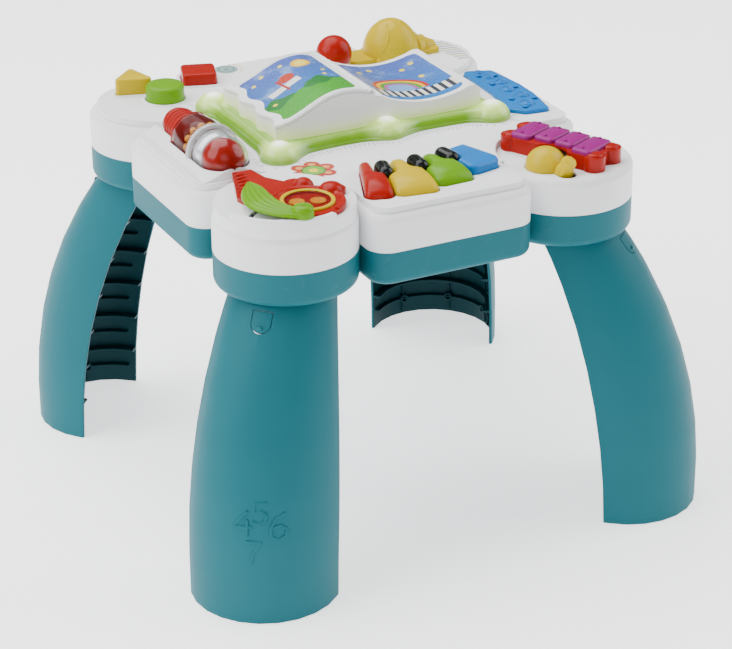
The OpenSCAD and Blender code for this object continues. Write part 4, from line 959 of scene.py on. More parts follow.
class PLAYTABLE_OT_deck(bpy.types.Operator):
    """Finishes the two deck shells and adds the wall round the front left plateau"""

    bl_idname = "playtable.deck"
    bl_label = "Deck shells"

    def execute(self, context):
        finish_node("top_shell", satin_moulding("white", MEDIUM))
        finish_node("base_shell", satin_moulding("teal", COARSE))
        finish_node("battery_door", satin_moulding("teal", COARSE))
        self.plateau_wall()
        self.lever_slot()
        return {"FINISHED"}

    def plateau_wall(self):
        """White wall that stands outside the strummer on the corner lobe"""
        centre = (-150.0, -156.0)
        outer, inner = 67, 61
        block = [(-147, -213), (-169, -209)]
        outline = arc_points(centre, outer, 196, 290, 22) + arc_points(centre, inner, 290, 262, 6)
        outline += block + arc_points(centre, inner, 238, 196, 10)
        mesh = bmesh.new()
        add_cushion(mesh, outline, plateau_z - 4, plateau_z + 6, top=1.8)
        add_piece("plateau_wall", mesh, "deck", satin_moulding("white", MEDIUM))

    def lever_slot(self):
        """Dark sheet of painted shade where the slot beside the strum lever lies"""
        mesh = bmesh.new()
        outline = turned(rounded_box(4.5, 0.4, 0.7, 4, 6.0), (-193, -178), 62)
        add_cushion(mesh, outline, plateau_z - 0.5, plateau_z + 0.15, top=0.1, steps=1)
        # painted shade: a near-black flat sheet stands for the shade inside the slot
        shadow = dull_part("slot_shadow", (0.02, 0.02, 0.022), 0.6, 1.0)
        add_piece("lever_slot", mesh, "deck", shadow)


class PLAYTABLE_OT_legs(bpy.types.Operator):
    """Finishes the legs and adds their fine ribs, ring bosses and raised numerals"""

    bl_idname = "playtable.legs"
    bl_label = "Legs"

    def execute(self, context):
        teal = leg_teal(sizes().edge / MM)
        for corner in CORNERS:
            finish_node("leg_" + corner, teal)
            finish_node("tab_" + corner, teal)
            self.fine_ribs(corner, teal)
            self.bosses(corner, teal)
            self.tab_mark(corner)
        self.numerals(leg_teal(0.2))
        return {"FINISHED"}

    def fine_ribs(self, corner, finish):
        """Low ribs between the deep ones, and the upright ribs that cross them"""
        mesh = bmesh.new()
        for k in range(6):
            z = LEG["rib_z"] + LEG["rib_pitch"] * k
            outer = leg_radius(z) - LEG["wall"]
            inner = leg_radius(z) - 8.5
            section = ((outer, -1.4), (inner, -0.7), (inner, 0.7), (outer, 1.4))
            add_solid(mesh, [[leg_place(corner, r, turn, z + dz) for r, dz in section]
                             for turn in range(-88, 89, 8)])
        for turn in LEG["rib_lines"]:
            for z0 in range(3, 226, 42):
                rings = []
                for z in (z0, z0 + 12, z0 + 24, z0 + 35):
                    side = degrees(0.9 / leg_radius(z))
                    section = ((LEG["wall"], -side), (6, -side), (6, side), (LEG["wall"], side))
                    rings.append([leg_place(corner, leg_radius(z) - depth, turn + s, z)
                                  for depth, s in section])
                add_solid(mesh, rings)
        add_piece("leg_ribs_" + corner, mesh, "leg_%s_body" % corner, finish)

    def bosses(self, corner, finish):
        """Small rings where the ribs cross"""
        profile = [(5.2, 0), (5.0, 6.5), (4.6, 6.9), (3.4, 6.9), (3.0, 6.4), (3.0, 0.5), (0, 0.5)]
        mesh = bmesh.new()
        for k in (0, 2, 4):
            z = LEG["rib_z"] + LEG["rib_pitch"] * k
            for turn in LEG["rib_lines"]:
                base = leg_place(corner, leg_radius(z) - LEG["wall"] - 0.1, turn, z)
                inward = leg_place(corner, leg_radius(z) - 12, turn, z) - base
                add_lathe(mesh, profile, base, 20, inward)
        add_piece("leg_bosses_" + corner, mesh, "leg_%s_body" % corner, finish)

    def tab_mark(self, corner):
        """Small nib at the middle of the release tab"""
        mesh = bmesh.new()
        z = LEG["height"] - 20
        base = leg_place(corner, leg_radius(z) - 0.6, 0, z)
        outward = leg_place(corner, leg_radius(z) + 9, 0, z) - base
        add_lathe(mesh, [(3.2, 0), (3.0, 0.9), (2.2, 1.5), (0, 1.7)], base, 20, outward)
        add_piece("tab_nib_" + corner, mesh, "tab_%s_body" % corner,
                  satin_moulding("teal", COARSE))

    def numerals(self, finish):
        """Raised numerals on the front left leg"""
        strokes = {
            "4": [[(0.55, 1), (0, 0.35), (0.75, 0.35)], [(0.55, 0.65), (0.55, 0)]],
            "5": [[(0.68, 1), (0.1, 1), (0.06, 0.56), (0.4, 0.62), (0.68, 0.42), (0.6, 0.12), (0.3, 0),
                   (0.02, 0.1)]],
            "6": [[(0.6, 0.97), (0.25, 0.8), (0.05, 0.42), (0.12, 0.1), (0.36, 0), (0.62, 0.12), (0.66, 0.36),
                   (0.42, 0.54), (0.1, 0.42)]],
            "7": [[(0.02, 1), (0.68, 1), (0.36, 0.5), (0.22, 0)]],
        }
        places = (("4", (-20, 92), 24), ("5", (-2, 104), 20), ("6", (14, 88), 26), ("7", (-8, 64), 22))
        relief = sizes().numeral / MM
        section = ((-1.5, -0.4), (-0.9, relief), (0.9, relief), (1.5, -0.4))
        mesh = bmesh.new()
        for glyph, (u0, z0), size in places:
            for stroke in strokes[glyph]:
                fine = [Vector(a).lerp(Vector(b), t / 4)
                        for a, b in zip(stroke, stroke[1:]) for t in range(4)]
                fine.append(Vector(stroke[-1]))
                rings = []
                for k, p in enumerate(fine):
                    along = (fine[min(k + 1, len(fine) - 1)] - fine[max(k - 1, 0)]).normalized()
                    ring = []
                    for offset, lift in section:
                        u = u0 + p.x * size - along.y * offset
                        z = z0 + p.y * size + along.x * offset
                        radius = leg_radius(z)
                        ring.append(leg_place("front_left", radius + lift, degrees(u / radius) + 12, z))
                    rings.append(ring)
                add_solid(mesh, rings)
        add_piece("leg_numerals", mesh, "leg_front_left_body", finish)


class PLAYTABLE_OT_inside(bpy.types.Operator):
    """Finishes the pieces inside the deck"""

    bl_idname = "playtable.inside"
    bl_label = "Pieces inside the deck"

    def execute(self, context):
        rubber = dull_part("switch_rubber", (0.22, 0.23, 0.25), 0.7, 1.2)
        dark = dull_part("dark_plastic", (0.030, 0.032, 0.036), 0.5, 1.0)
        for node in ("battery_door_screw", "battery_contacts", "board_screws", "shell_screws", "key_pins",
                     "strum_screw", "page_hinge_pin", "roller_axle"):
            finish_node(node, steel())
        for node in ("main_board", "circuit_boards"):
            finish_node(node, circuit_board(), smooth=False)
        finish_node("batteries", cell_sleeve())
        finish_node("speaker", dark)
        finish_node("power_switch", dark)
        finish_node("switch_pads", rubber)
        finish_node("leds", lamp_lens())
        return {"FINISHED"}


class PLAYTABLE_OT_book(bpy.types.Operator):
    """Finishes the book and lays its two printed pages"""

    bl_idname = "playtable.book"
    bl_label = "Page book"

    def execute(self, context):
        white = satin_moulding("white", FINE)
        finish_node("book_base", book_white())
        finish_node("page_leaf", white)
        self.page("left_page_film", "page", "leaf_print", left_page_print(), (-93.0, -9.0), leaf_top, 3.0)
        self.page("right_page_film", "deck", "page_print", right_page_print(), (21.0, 112.0), page_top, 0.0)
        self.leaf_rim(white)
        return {"FINISHED"}

    def page(self, name, body, node, finish, sides, height, scallop):
        """A film with round corners that follows the page, with three scallops of that depth on its left"""
        front = BOOK["front"] + BOOK["margin"]
        back = BOOK["back"] - BOOK["margin"]
        film = sizes().film / MM
        corner = 7.0
        across, deep = 36, 44
        top = []
        mesh = bmesh.new()
        for j in range(deep + 1):
            y = front + (back - front) * j / deep
            inset = quarter_circle_sink(corner, max(0.0, min(y - front, back - y)))
            turns = 6 * pi * (y - BOOK["front"]) / (BOOK["back"] - BOOK["front"])
            a = sides[0] + inset + scallop * (1 - cos(turns))
            b = sides[1] - inset
            row = [a + (b - a) * k / across for k in range(across + 1)]
            top.append([mesh.verts.new((x, y, height(x) + 0.08 + film)) for x in row])
        for r0, r1 in zip(top, top[1:]):
            for k in range(across):
                mesh.faces.new((r0[k], r0[k + 1], r1[k + 1], r1[k]))
        border = top[0] + [r[-1] for r in top[1:]] + top[-1][-2::-1] + [r[0] for r in top[-2:0:-1]]
        foot = [mesh.verts.new((v.co.x, v.co.y, v.co.z - film - 0.05)) for v in border]
        for k in range(len(border)):
            m = (k + 1) % len(border)
            mesh.faces.new((border[k], foot[k], foot[m], border[m]))
        add_piece(name, mesh, body, finish, replaces=(node,), smooth=60)

    def leaf_rim(self, finish):
        """Raised bead along the leaf's front and back edges"""
        mesh = bmesh.new()
        start, reach = BOOK["left"] + 9, BOOK["spine"] - 17 - BOOK["left"]
        for y in (BOOK["front"] + 3.4, BOOK["back"] - 3.4):
            places = [start + reach * k / 40 for k in range(41)]
            add_solid(mesh, [oval(Vector((x, y, leaf_top(x) - 0.2)), ALONG_Y * 1.3, UP * 0.7, 6, half=True)
                             for x in places])
        add_piece("leaf_bead", mesh, "page", finish)


class PLAYTABLE_OT_lights(bpy.types.Operator):
    """The translucent green frame round the book, its lamp domes and lenses"""

    bl_idname = "playtable.lights"
    bl_label = "Lit green frame"

    def execute(self, context):
        self.rail()
        self.domes()
        return {"FINISHED"}

    def rail(self):
        """A soft band that swells at the lamps and runs in under the book"""
        foot = ((0, 0.2), (0, 1.4), (0.3, 2.2), (1.4, 2.6), (2.2, 2.9))
        start, start_z = foot[-1]
        back = ((0.03, 0.28), (0.08, 0.54), (0.15, 0.76), (0.24, 0.92), (0.34, 0.99), (0.44, 1.0),
                (0.54, 0.95), (0.62, 0.82), (0.67, 0.74), (0.73, 0.76), (0.82, 0.86), (1.0, 0.94))
        under = 3
        rings = []
        for k, p, along, out in path_sides(frame_path()):
            near = lamp_nearness(p)
            edge = p + out * (8.0 + 8 * near)
            height = 10.5 + 3.5 * near
            inner = Vector((max(BOOK["left"] + under, min(BOOK["right"] - under, p.x)),
                            max(BOOK["front"] + under, min(BOOK["back"] - under, p.y))))
            body = edge - out * start
            ring = [(edge - out * reach, rise) for reach, rise in foot]
            ring += [(body + (inner - body) * t, start_z + (height - start_z) * share) for t, share in back]
            ring.append((inner, 0.2))
            rings.append([(q.x, q.y, field_z + z) for q, z in ring])
        mesh = bmesh.new()
        loops = add_rings(mesh, rings)
        first, last = loops[0], loops[-1]
        for k in range(len(first)):
            m = (k + 1) % len(first)
            mesh.faces.new((last[k], last[m], first[m], first[k]))
        add_piece("green_rail", mesh, "deck", lit_frame(), replaces=("light_frame",), smooth=60)

    def domes(self):
        """A green skirt and a frosted lens over each lamp"""
        skirt = [(19.6, 0.3), (19.2, 3.4), (18.0, 7.0), (15.6, 10.6), (12.8, 13.2), (10.6, 14.5), (9.6, 14.9),
                 (9.0, 14.6), (8.8, 8), (0, 8)]
        lens = [(8.7, 9.0), (8.7, 14.7), (8.3, 15.4), (7.4, 16.1), (5.9, 16.8), (4.0, 17.4), (2.0, 17.7),
                (0, 17.8)]
        mesh = bmesh.new()
        skirts = bmesh.new()
        for place in LAMPS:
            add_lathe(skirts, skirt, (*place, field_z), 48)
            add_lathe(mesh, lens, (*place, field_z), 48)
        add_piece("lamp_skirts", skirts, "deck", lit_frame())
        add_piece("lamp_lenses", mesh, "deck", lamp_lens(), replaces=("light_lenses",))


class PLAYTABLE_OT_roller(bpy.types.Operator):
    """Clear roller with its ball, drum, beads and ribbed cap"""

    bl_idname = "playtable.roller"
    bl_label = "Roller"

    bore = 2.6
    shell = 24.0
    shell_wall = 1.7
    nose = (0, -50.0)

    def execute(self, context):
        self.cradle()
        self.front_shell()
        self.ball()
        self.drum()
        self.ring()
        self.rear_shell()
        self.beads()
        self.cap()
        return {"FINISHED"}

    def cradle(self):
        """White bed that rises to the roller on both sides and fills its pocket below"""
        radius = self.shell + 0.9
        places = [(-76.3, 1.5)] + arc_points((self.nose[1], 0), radius, 171, 90, 9)
        places += [(-10.0, radius), (24.6, radius), (26.4, 18.6), (50.0, 18.3), (72.8, 18.3)]
        low_z = field_z + 0.4 - roller_axis.z
        side, pocket, bottom = 33.4, 28.2, -26.8
        foot = [(-side, low_z - 0.3), (-pocket, low_z - 0.3), (-pocket, bottom), (pocket, bottom),
                (pocket, low_z - 0.3), (side, low_z - 0.3)]
        rings = []
        for y, r in places:
            lip = max(-3.0, -0.3 * r)
            reach = sqrt(r * r - lip * lip) + 0.9
            start = degrees(asin(-lip / r))
            slope = [(side + (reach - side) * t, low_z + (lip + 0.5 - low_z) * t * t * (3 - 2 * t))
                     for t in (0.0, 0.2, 0.4, 0.6, 0.8, 0.93, 1.0)]
            ring = slope + arc_points((0, 0), r, -start, start - 180, 28)
            ring += [(-x, z) for x, z in slope[::-1]] + foot
            rings.append([(roller_axis.x + x, y, roller_axis.z + z) for x, z in ring])
        mesh = bmesh.new()
        add_solid(mesh, rings)
        add_piece("roller_cradle", mesh, "deck", satin_moulding("white", MEDIUM))

    def spun(self, name, profile, slot, finish, node, body="roller"):
        """A turned piece; the profile's heights are places along Y"""
        mesh = bmesh.new()
        add_lathe(mesh, profile, (roller_axis.x, 0, roller_axis.z), 64, ALONG_Y)
        add_piece(name, mesh, body, finish, replaces=(node,), smooth=50)

    def front_shell(self):
        inside = self.shell - self.shell_wall
        profile = arc_points(self.nose, self.shell, -90, 0, 14) + [(self.shell, -29.5), (self.shell, -26.8)]
        profile += [(inside, -26.8)] + arc_points(self.nose, inside, 0, -90, 14)
        self.spun("front_shell", profile, "clear_plastic", clear_shell(), "roller_shell_front")

    def ball(self):
        dome = arc_points(self.nose, 20.8, -90, 26, 18)
        r, y = dome[-1]
        profile = dome + [(r - 0.8, y + 0.5), (r - 2.5, y + 0.4), (6, y - 2.5), (self.bore, y - 2.6)]
        self.spun("roller_half_ball", profile, "red_plastic", glossy_moulding("red"), "roller_ball")

    def drum(self):
        profile = [(self.bore, -41), (16, -41), (19.2, -40.2), (20, -39.2), (20, -34), (20.6, -33.4),
                   (20.6, -32.2), (20, -31.6), (20, -28.4), (21.6, -27.9), (21.6, -26.8), (self.bore, -26.8)]
        self.spun("roller_drum", profile, "reflector", reflector_white(), "roller_reflector")

    def ring(self):
        """The fixed ring between the two shells, with its hub and three spokes"""
        profile = [(22, -26), (26.2, -26), (27, -25.2), (27, -24), (26.4, -23.4), (26.4, -22.6), (27, -22),
                   (27, -20.8), (26.2, -20), (22, -20), (21.2, -20.8), (21.2, -25.2), (22, -26)]
        self.spun("roller_ring", profile, "clear_plastic", ring_plastic(), "roller_yoke", body="deck")
        spoke = [(21.6, -1.6), (21.6, 1.6), (5, 2.2), (5, -2.2)]
        hub = [(self.bore, -26), (5.4, -26), (6, -25.4), (6, -20.6), (5.4, -20), (self.bore, -20)]
        mesh = bmesh.new()
        for turn in (90, 210, 330):
            section = turned(spoke, (roller_axis.x, roller_axis.z), turn)
            add_solid(mesh, [[(x, y, z) for x, z in section] for y in (-25, -21)])
        add_lathe(mesh, hub, (roller_axis.x, 0, roller_axis.z), 32, ALONG_Y)
        add_toy("ring_spokes", mesh, "red")

    def rear_shell(self):
        inside = self.shell - self.shell_wall
        profile = [(self.bore, -19.5), (20, -19.5), (23, -18.9), (self.shell, -17.6), (self.shell, 21),
                   (23.6, 21.9), (inside, 21.9), (inside, -17), (21.6, -17.6), (self.bore, -17.6)]
        self.spun("rear_shell", profile, "clear_plastic", clear_shell(), "roller_shell_rear")

    def beads(self):
        """Drilled beads that lie in two rows inside the rear shell"""
        rows = ((-12.5, 0), (-3.8, 14))
        in_row = 13
        profile = [(0.9, -2.6)] + arc_points((0, 0), 3.9, -70, 70, 10, height=3.4) + [(0.9, 2.6), (0.9, -2.6)]
        mesh = bmesh.new()
        for y, shift in rows:
            for k in range(in_row):
                turn = radians(360 / in_row * k + shift)
                centre = (roller_axis.x + 17.8 * cos(turn), y, roller_axis.z + 17.8 * sin(turn))
                lean = (cos(turn * 3) * 0.4, 1.0, sin(turn * 5) * 0.4)
                add_lathe(mesh, profile, centre, 16, lean)
        add_piece("roller_bead_rows", mesh, "roller", glossy_moulding("orange"),
                  replaces=("roller_beads",))

    def cap(self):
        """Ribbed cap with a round end"""
        depth = sizes().rib / MM
        profile = [(self.bore, 19.4), (22.0, 19.4), (22.0, 22.0), (23.8, 22.3), (24.0, 23.0), (23.8, 24.6),
                   (19.0, 26.4)]
        for k in range(5):
            y = 28.5 + 6.2 * k
            r = 17.6 - 0.25 * k
            profile += [(r, y), (r + 0.9, y + 1.2), (r + 1.0, y + 2.6), (r + 0.4, y + 3.6),
                        (r - depth, y + 4.4), (r - depth, y + 5.2)]
        profile += [(15.6, 60.0), (16.0, 61.6), (15.4, 64.6), (13.2, 68.0), (9.4, 70.4), (5.4, 71.6),
                    (3.4, 71.9), (self.bore, 71.4)]
        self.spun("roller_ribbed_cap", profile, "red_plastic", glossy_moulding("red"), "roller_cap")


class PLAYTABLE_OT_strummer(bpy.types.Operator):
    """Red strummer plate with its ring, window, discs and green lever"""

    bl_idname = "playtable.strummer"
    bl_label = "Strummer"

    hub = (-157.5, -211.5)
    ring_centre = (-137.0, -178.0)

    def execute(self, context):
        finish_node("strum_plate", glossy_moulding("red"))
        self.plate_trim()
        self.ring()
        self.window()
        self.discs()
        self.wing()
        self.hub_knob()
        return {"FINISHED"}

    def plate_trim(self):
        """Ridges on the neck, two side bumps and the dished rim of the plate"""
        mesh = bmesh.new()
        for k in range(8):
            t = k / 7
            middle = Vector((-180 + 14 * t, -146 + 56 * t, plate_top_z - 0.2))
            along = Vector((0.93, 0.22 - 0.1 * t, 0)).normalized()
            side = Vector((-along.y, along.x, 0))
            reach = 9.0 - 2.4 * t
            rings = []
            for s in (j / 4 for j in range(-4, 5)):
                swell = sqrt(max(0.02, 1 - s ** 4))
                place = middle + along * reach * s
                rings.append(oval(place, side * 2.1 * swell, UP * 2.0 * swell, 8, half=True))
            add_solid(mesh, rings)
        for x, y, r in ((-122.5, -138.5, 8.4), (-104, -160, 10.5)):
            bump = [(r + 1.6, -1.0), (r + 1.2, 0.6), (r, 2.2), (r * 0.8, 4.2), (r * 0.5, 5.6),
                    (r * 0.2, 6.2), (0, 6.3)]
            add_lathe(mesh, bump, (x, y, plate_top_z), 36)
        rim = [(35.6, -3.5), (35.8, 0.2), (35.2, 1.5), (34, 2.0), (32.6, 1.7), (31.4, 0.9), (30.4, 0.1),
               (29.6, -0.4)]
        start, end = -62, 190
        rings = []
        for turn in (start + (end - start) * k / 40 for k in range(41)):
            rings.append([(*turned([(r, 0)], self.ring_centre, turn)[0], plate_top_z + h) for r, h in rim])
        add_solid(mesh, rings)
        add_toy("strum_trim", mesh, "red")

    def ring(self):
        mesh = bmesh.new()
        profile = [(24.2, 0.05), (26, 0.1), (26, 1.4), (25.3, 2.2), (24.0, 2.4), (22.7, 2.2), (22.0, 1.5),
                   (22.0, 1.25), (24.2, 1.25), (24.2, 0.05)]
        add_lathe(mesh, profile, (*self.ring_centre, plate_top_z), 72)
        add_toy("strum_ring_band", mesh, "yellow", replaces=("strum_ring",))

    def window(self):
        mesh = bmesh.new()
        profile = [(24.0, 0.1), (24.0, 1.15), (22.0, 1.3), (14, 1.75), (6, 2.0), (0, 2.05)]
        add_lathe(mesh, profile, (*self.ring_centre, plate_top_z), 64)
        add_piece("strum_lens", mesh, "deck", clear_shell(), replaces=("strum_window",))

    def discs(self):
        mesh = bmesh.new()
        profile = [(7.4, -2.9), (7.4, -1.2), (6.9, -0.8), (5.6, -0.8), (5.0, -1.3), (1.8, -1.3), (1.4, -0.8),
                   (0, -0.7)]
        x, y = self.ring_centre
        for s in (-1, 1):
            add_lathe(mesh, profile, (x + 9.5 * s, y - 3 * s, plate_top_z), 32)
        add_toy("strum_disc_pair", mesh, "orange", replaces=("strum_discs",))

    def wing(self):
        """Fluted wing that sweeps from the hub to its lifted tip"""
        left = [(-5, -9), (-18, -1), (-30, 13), (-38, 32), (-37, 52), (-30, 70), (-18, 85)]
        right = [(4, 6), (-2, 14), (-6, 24), (-8, 38), (-8, 54), (-8, 70), (-13, 85)]
        flutes, across, count = 5, 30, 36
        foot = high("strum_lever").z - 5.0
        hub = Vector(self.hub)
        rings = []
        for share in (j / count for j in range(count + 1)):
            place = share * (len(left) - 1)
            a = hub + on_curve(left, place)
            b = hub + on_curve(right, place)
            body = min(1.0, share * 5) * min(1.0, (1 - share) * 6)
            lift = 0.8 * share ** 2
            upper = []
            lower = []
            for u in (i / across for i in range(across + 1)):
                p = a + (b - a) * u
                edge = sqrt(max(0.0, 1 - (2 * u - 1) ** 6))
                wave = abs(sin(pi * flutes * u)) ** 0.9
                upper.append((p.x, p.y, foot + 0.8 + 3.9 * edge * (0.72 + 0.28 * body * wave) + lift))
                lower.append((p.x, p.y, foot + 0.1 + lift + 0.4 * (1 - edge)))
            rings.append(upper + lower[::-1])
        mesh = bmesh.new()
        add_solid(mesh, rings)
        add_toy("strum_wing", mesh, "green", "strummer", replaces=("strum_lever",))

    def hub_knob(self):
        mesh = bmesh.new()
        knob = [(8.0, 0.35), (10.2, 0.6), (10.4, 4.0), (10.2, 11.0), (9.6, 14.4), (8.2, 16.0), (6.0, 16.8),
                (3.0, 17.2), (0, 17.3)]
        add_lathe(mesh, knob, (*self.hub, plateau_z), 48)
        add_lathe(mesh, [(2.6, 17.0), (2.5, 17.7), (1.8, 17.9), (0, 18.0)], (*self.hub, plateau_z), 24)
        add_toy("strum_hub", mesh, "green", "strummer")


class PLAYTABLE_OT_keyboard(bpy.types.Operator):
    """Four crowned colour keys and three glossy black keys"""

    bl_idname = "playtable.keyboard"
    bl_label = "Keyboard"

    def execute(self, context):
        for k, name in enumerate(("red", "yellow", "green", "blue")):
            self.colour_key(k, name)
        for k in range(3):
            self.black_key(k)
        return {"FINISHED"}

    def margin(self, k, side, r):
        """Space kept at radius r beside the boundary of key k: its gap, a black key and its round corners"""
        b = KEYBOARD
        space = b["gap"] / 2
        if 0 < k + side < len(b["fronts"]):
            past = r - b["blacks"][k + side - 1] - b["black_half"]
            if past < b["black_room"]:
                space = max(space, sqrt(b["black_room"] ** 2 - max(0.0, past) ** 2))
        space += quarter_circle_sink(b["round"], b["fronts"][k] - r)
        return space + quarter_circle_sink(3.0, r - b["rear"])

    def colour_key(self, k, name):
        """A domed key narrowed beside the black keys, lofted from rear to front; the blue one is flatter"""
        b = KEYBOARD
        front, rear = b["fronts"][k], b["rear"]
        edge, crown, drop, reach = (3.0, 0.5, 2.5, 12.0) if name == "blue" else (5.5, 3.0, 7.0, 28.0)
        deep, across = 48, 24
        rings = []
        for r in (rear + (front - rear) * (1 - cos(pi * j / deep)) / 2 for j in range(deep + 1)):
            a0 = b["edges"][k] + degrees(self.margin(k, 0, r) / r)
            a1 = b["edges"][k + 1] - degrees(self.margin(k, 1, r) / r)
            width = radians(a1 - a0) * r
            ends = min(front - r, r - rear)
            sink = quarter_circle_sink(edge, ends) + drop * max(0.0, (r - front + reach) / reach) ** 2
            ring = [(*fan_place(r, a0), rim_z - b["sole"])]
            for v in ((1 - cos(pi * i / across)) / 2 for i in range(across + 1)):
                dome = crown * (1 - (2 * v - 1) ** 2) * min(1.0, ends / 12)
                fall = quarter_circle_sink(min(edge, 0.45 * width), min(v, 1 - v) * width)
                ring.append((*fan_place(r, a0 + (a1 - a0) * v), rim_z + b["top"] - sink + dome - fall))
            ring.append((*fan_place(r, a1), rim_z - b["sole"]))
            rings.append(ring)
        mesh = bmesh.new()
        add_solid(mesh, rings)
        add_toy(name + "_key_cap", mesh, name, name + "_key", replaces=("piano_key_" + name,))

    def black_key(self, k):
        turn = KEYBOARD["edges"][k + 1]
        centre = fan_place(KEYBOARD["blacks"][k], turn)
        outline = turned(rounded_box(KEYBOARD["black_half"], 0.2, 7.8, 10, 4.0), centre, turn + 90)
        mesh = bmesh.new()
        add_cushion(mesh, outline, rim_z - 6, rim_z + 20.5, top=7.2, crown=1.4, steps=8)
        letter = "abc"[k]
        add_piece("black_key_cap_" + letter, mesh, "black_key_" + letter, black_gloss(),
                  replaces=("black_key_%d" % (k + 1),))


class PLAYTABLE_OT_chimes(bpy.types.Operator):
    """Chime frame, crowned purple bars with pins, and the yellow mallet"""

    bl_idname = "playtable.chimes"
    bl_label = "Chimes"

    centre = (149.0, -153.0)
    turn = -64.0
    mallet_centre = (120, -174)
    stub_centre = (126, -197)

    def execute(self, context):
        self.frame_body()
        self.bars()
        self.mallet()
        return {"FINISHED"}

    def frame_body(self):
        """Finishes the frame and adds a round pad on each of its lobes"""
        finish_node("chime_frame", glossy_moulding("red"))
        pad = [(8.6, -0.6), (8.4, 0.6), (7.2, 1.7), (5.0, 2.3), (2.4, 2.6), (0, 2.7)]
        mesh = bmesh.new()
        for centre in turned([(-48, -14), (-48, 14), (48, -14), (48, 14)], self.centre, self.turn):
            add_lathe(mesh, pad, (*centre, high("chime_frame").z), 32)
        add_toy("chime_frame_pads", mesh, "red")

    def bars(self):
        """Four bars in a row; the middle two stop short of the mallet"""
        top = high("chime_frame").z
        pitch, half_x, half_y, short_y, corner = 23.5, 11.0, 21.0, 15.0, 4.5
        pin = [(1.7, 4.0), (1.7, 5.6), (1.2, 6.3), (0, 6.5)]
        mesh = bmesh.new()
        pins = bmesh.new()
        for k in range(4):
            x = (k - 1.5) * pitch
            y0 = -short_y if k in (1, 2) else -half_y
            outline = rounded_box(half_x - corner, (half_y - y0) / 2 - corner, corner, 6, 4.0)
            outline = [(px + x, py + (y0 + half_y) / 2) for px, py in outline]
            outline = turned(outline, self.centre, self.turn)
            add_cushion(mesh, outline, top - 0.3, top + 4.4, top=2.4, crown=1.5)
            for spot in turned([(x, y0 + 5.5), (x, half_y - 5.5)], self.centre, self.turn):
                add_lathe(pins, pin, (*spot, top), 16)
        add_toy("chime_bar_set", mesh, "purple", replaces=("chime_bars",))
        add_toy("chime_pins", pins, "purple")

    def mallet(self):
        """Round head with an eight-sided stub that leans forward"""
        dome = [(19.8, -3.0), (19.9, 1.0)] + arc_points((0, 1.0), 20, 90 / 14, 90, 13, height=19.2)
        stub = [(9.6, -4), (9.4, 2), (8.6, 6), (7.6, 10), (7.3, 13), (7.6, 15.5), (7.2, 16.8), (5.6, 17.4),
                (0, 17.6)]
        mesh = bmesh.new()
        add_lathe(mesh, dome, (*self.mallet_centre, rim_z), 64)
        add_lathe(mesh, stub, (*self.stub_centre, rim_z), 8, (0.16, -0.5, 1.0))
        add_toy("mallet_head", mesh, "yellow", "mallet", replaces=("mallet_button",), smooth=35)


class PLAYTABLE_OT_shapes(bpy.types.Operator):
    """The triangle, disc and square buttons and their collars"""

    bl_idname = "playtable.shapes"
    bl_label = "Shape buttons"

    def execute(self, context):
        corners = turned(arc_points((0, 0), 17, 0, 240, 2), (0, 0), 74)
        triangle = turned(rounded_outline(corners, 4, 8, 3.0), (-161, 193), 0)
        square = turned(rounded_box(13, 13, 5, 8, 4.0), (-87, 192), -18)
        disc = arc_points((-140, 156), 20, 0, 355, 71)
        self.button("triangle_cap", triangle, 19.0, "triangle", "yellow", "triangle_button", 2.2)
        self.button("disc_cap", disc, 18.0, "disc", "green", "circle_button", 4.0)
        self.button("square_cap", square, 14.0, "square", "red", "square_button", 2.6)
        self.collars((triangle, disc, square))
        return {"FINISHED"}

    def button(self, name, outline, height, body, tint, node, edge):
        mesh = bmesh.new()
        crown = 0.8
        add_cushion(mesh, outline, field_z - 6, field_z + height - crown, top=edge, crown=crown, steps=6)
        add_toy(name, mesh, tint, body, replaces=(node,))

    def collars(self, outlines):
        """Low white lips round the holes"""
        profile = ((-0.6, -0.4), (-0.6, 0.9), (-1.1, 1.5), (-2.2, 1.6), (-3.2, 1.1), (-4.0, 0.2),
                   (-4.1, -0.4))
        mesh = bmesh.new()
        for outline in outlines:
            add_rings(mesh, lip_rings(outline, profile, field_z))
        add_piece("button_collars", mesh, "deck", satin_moulding("white", FINE))


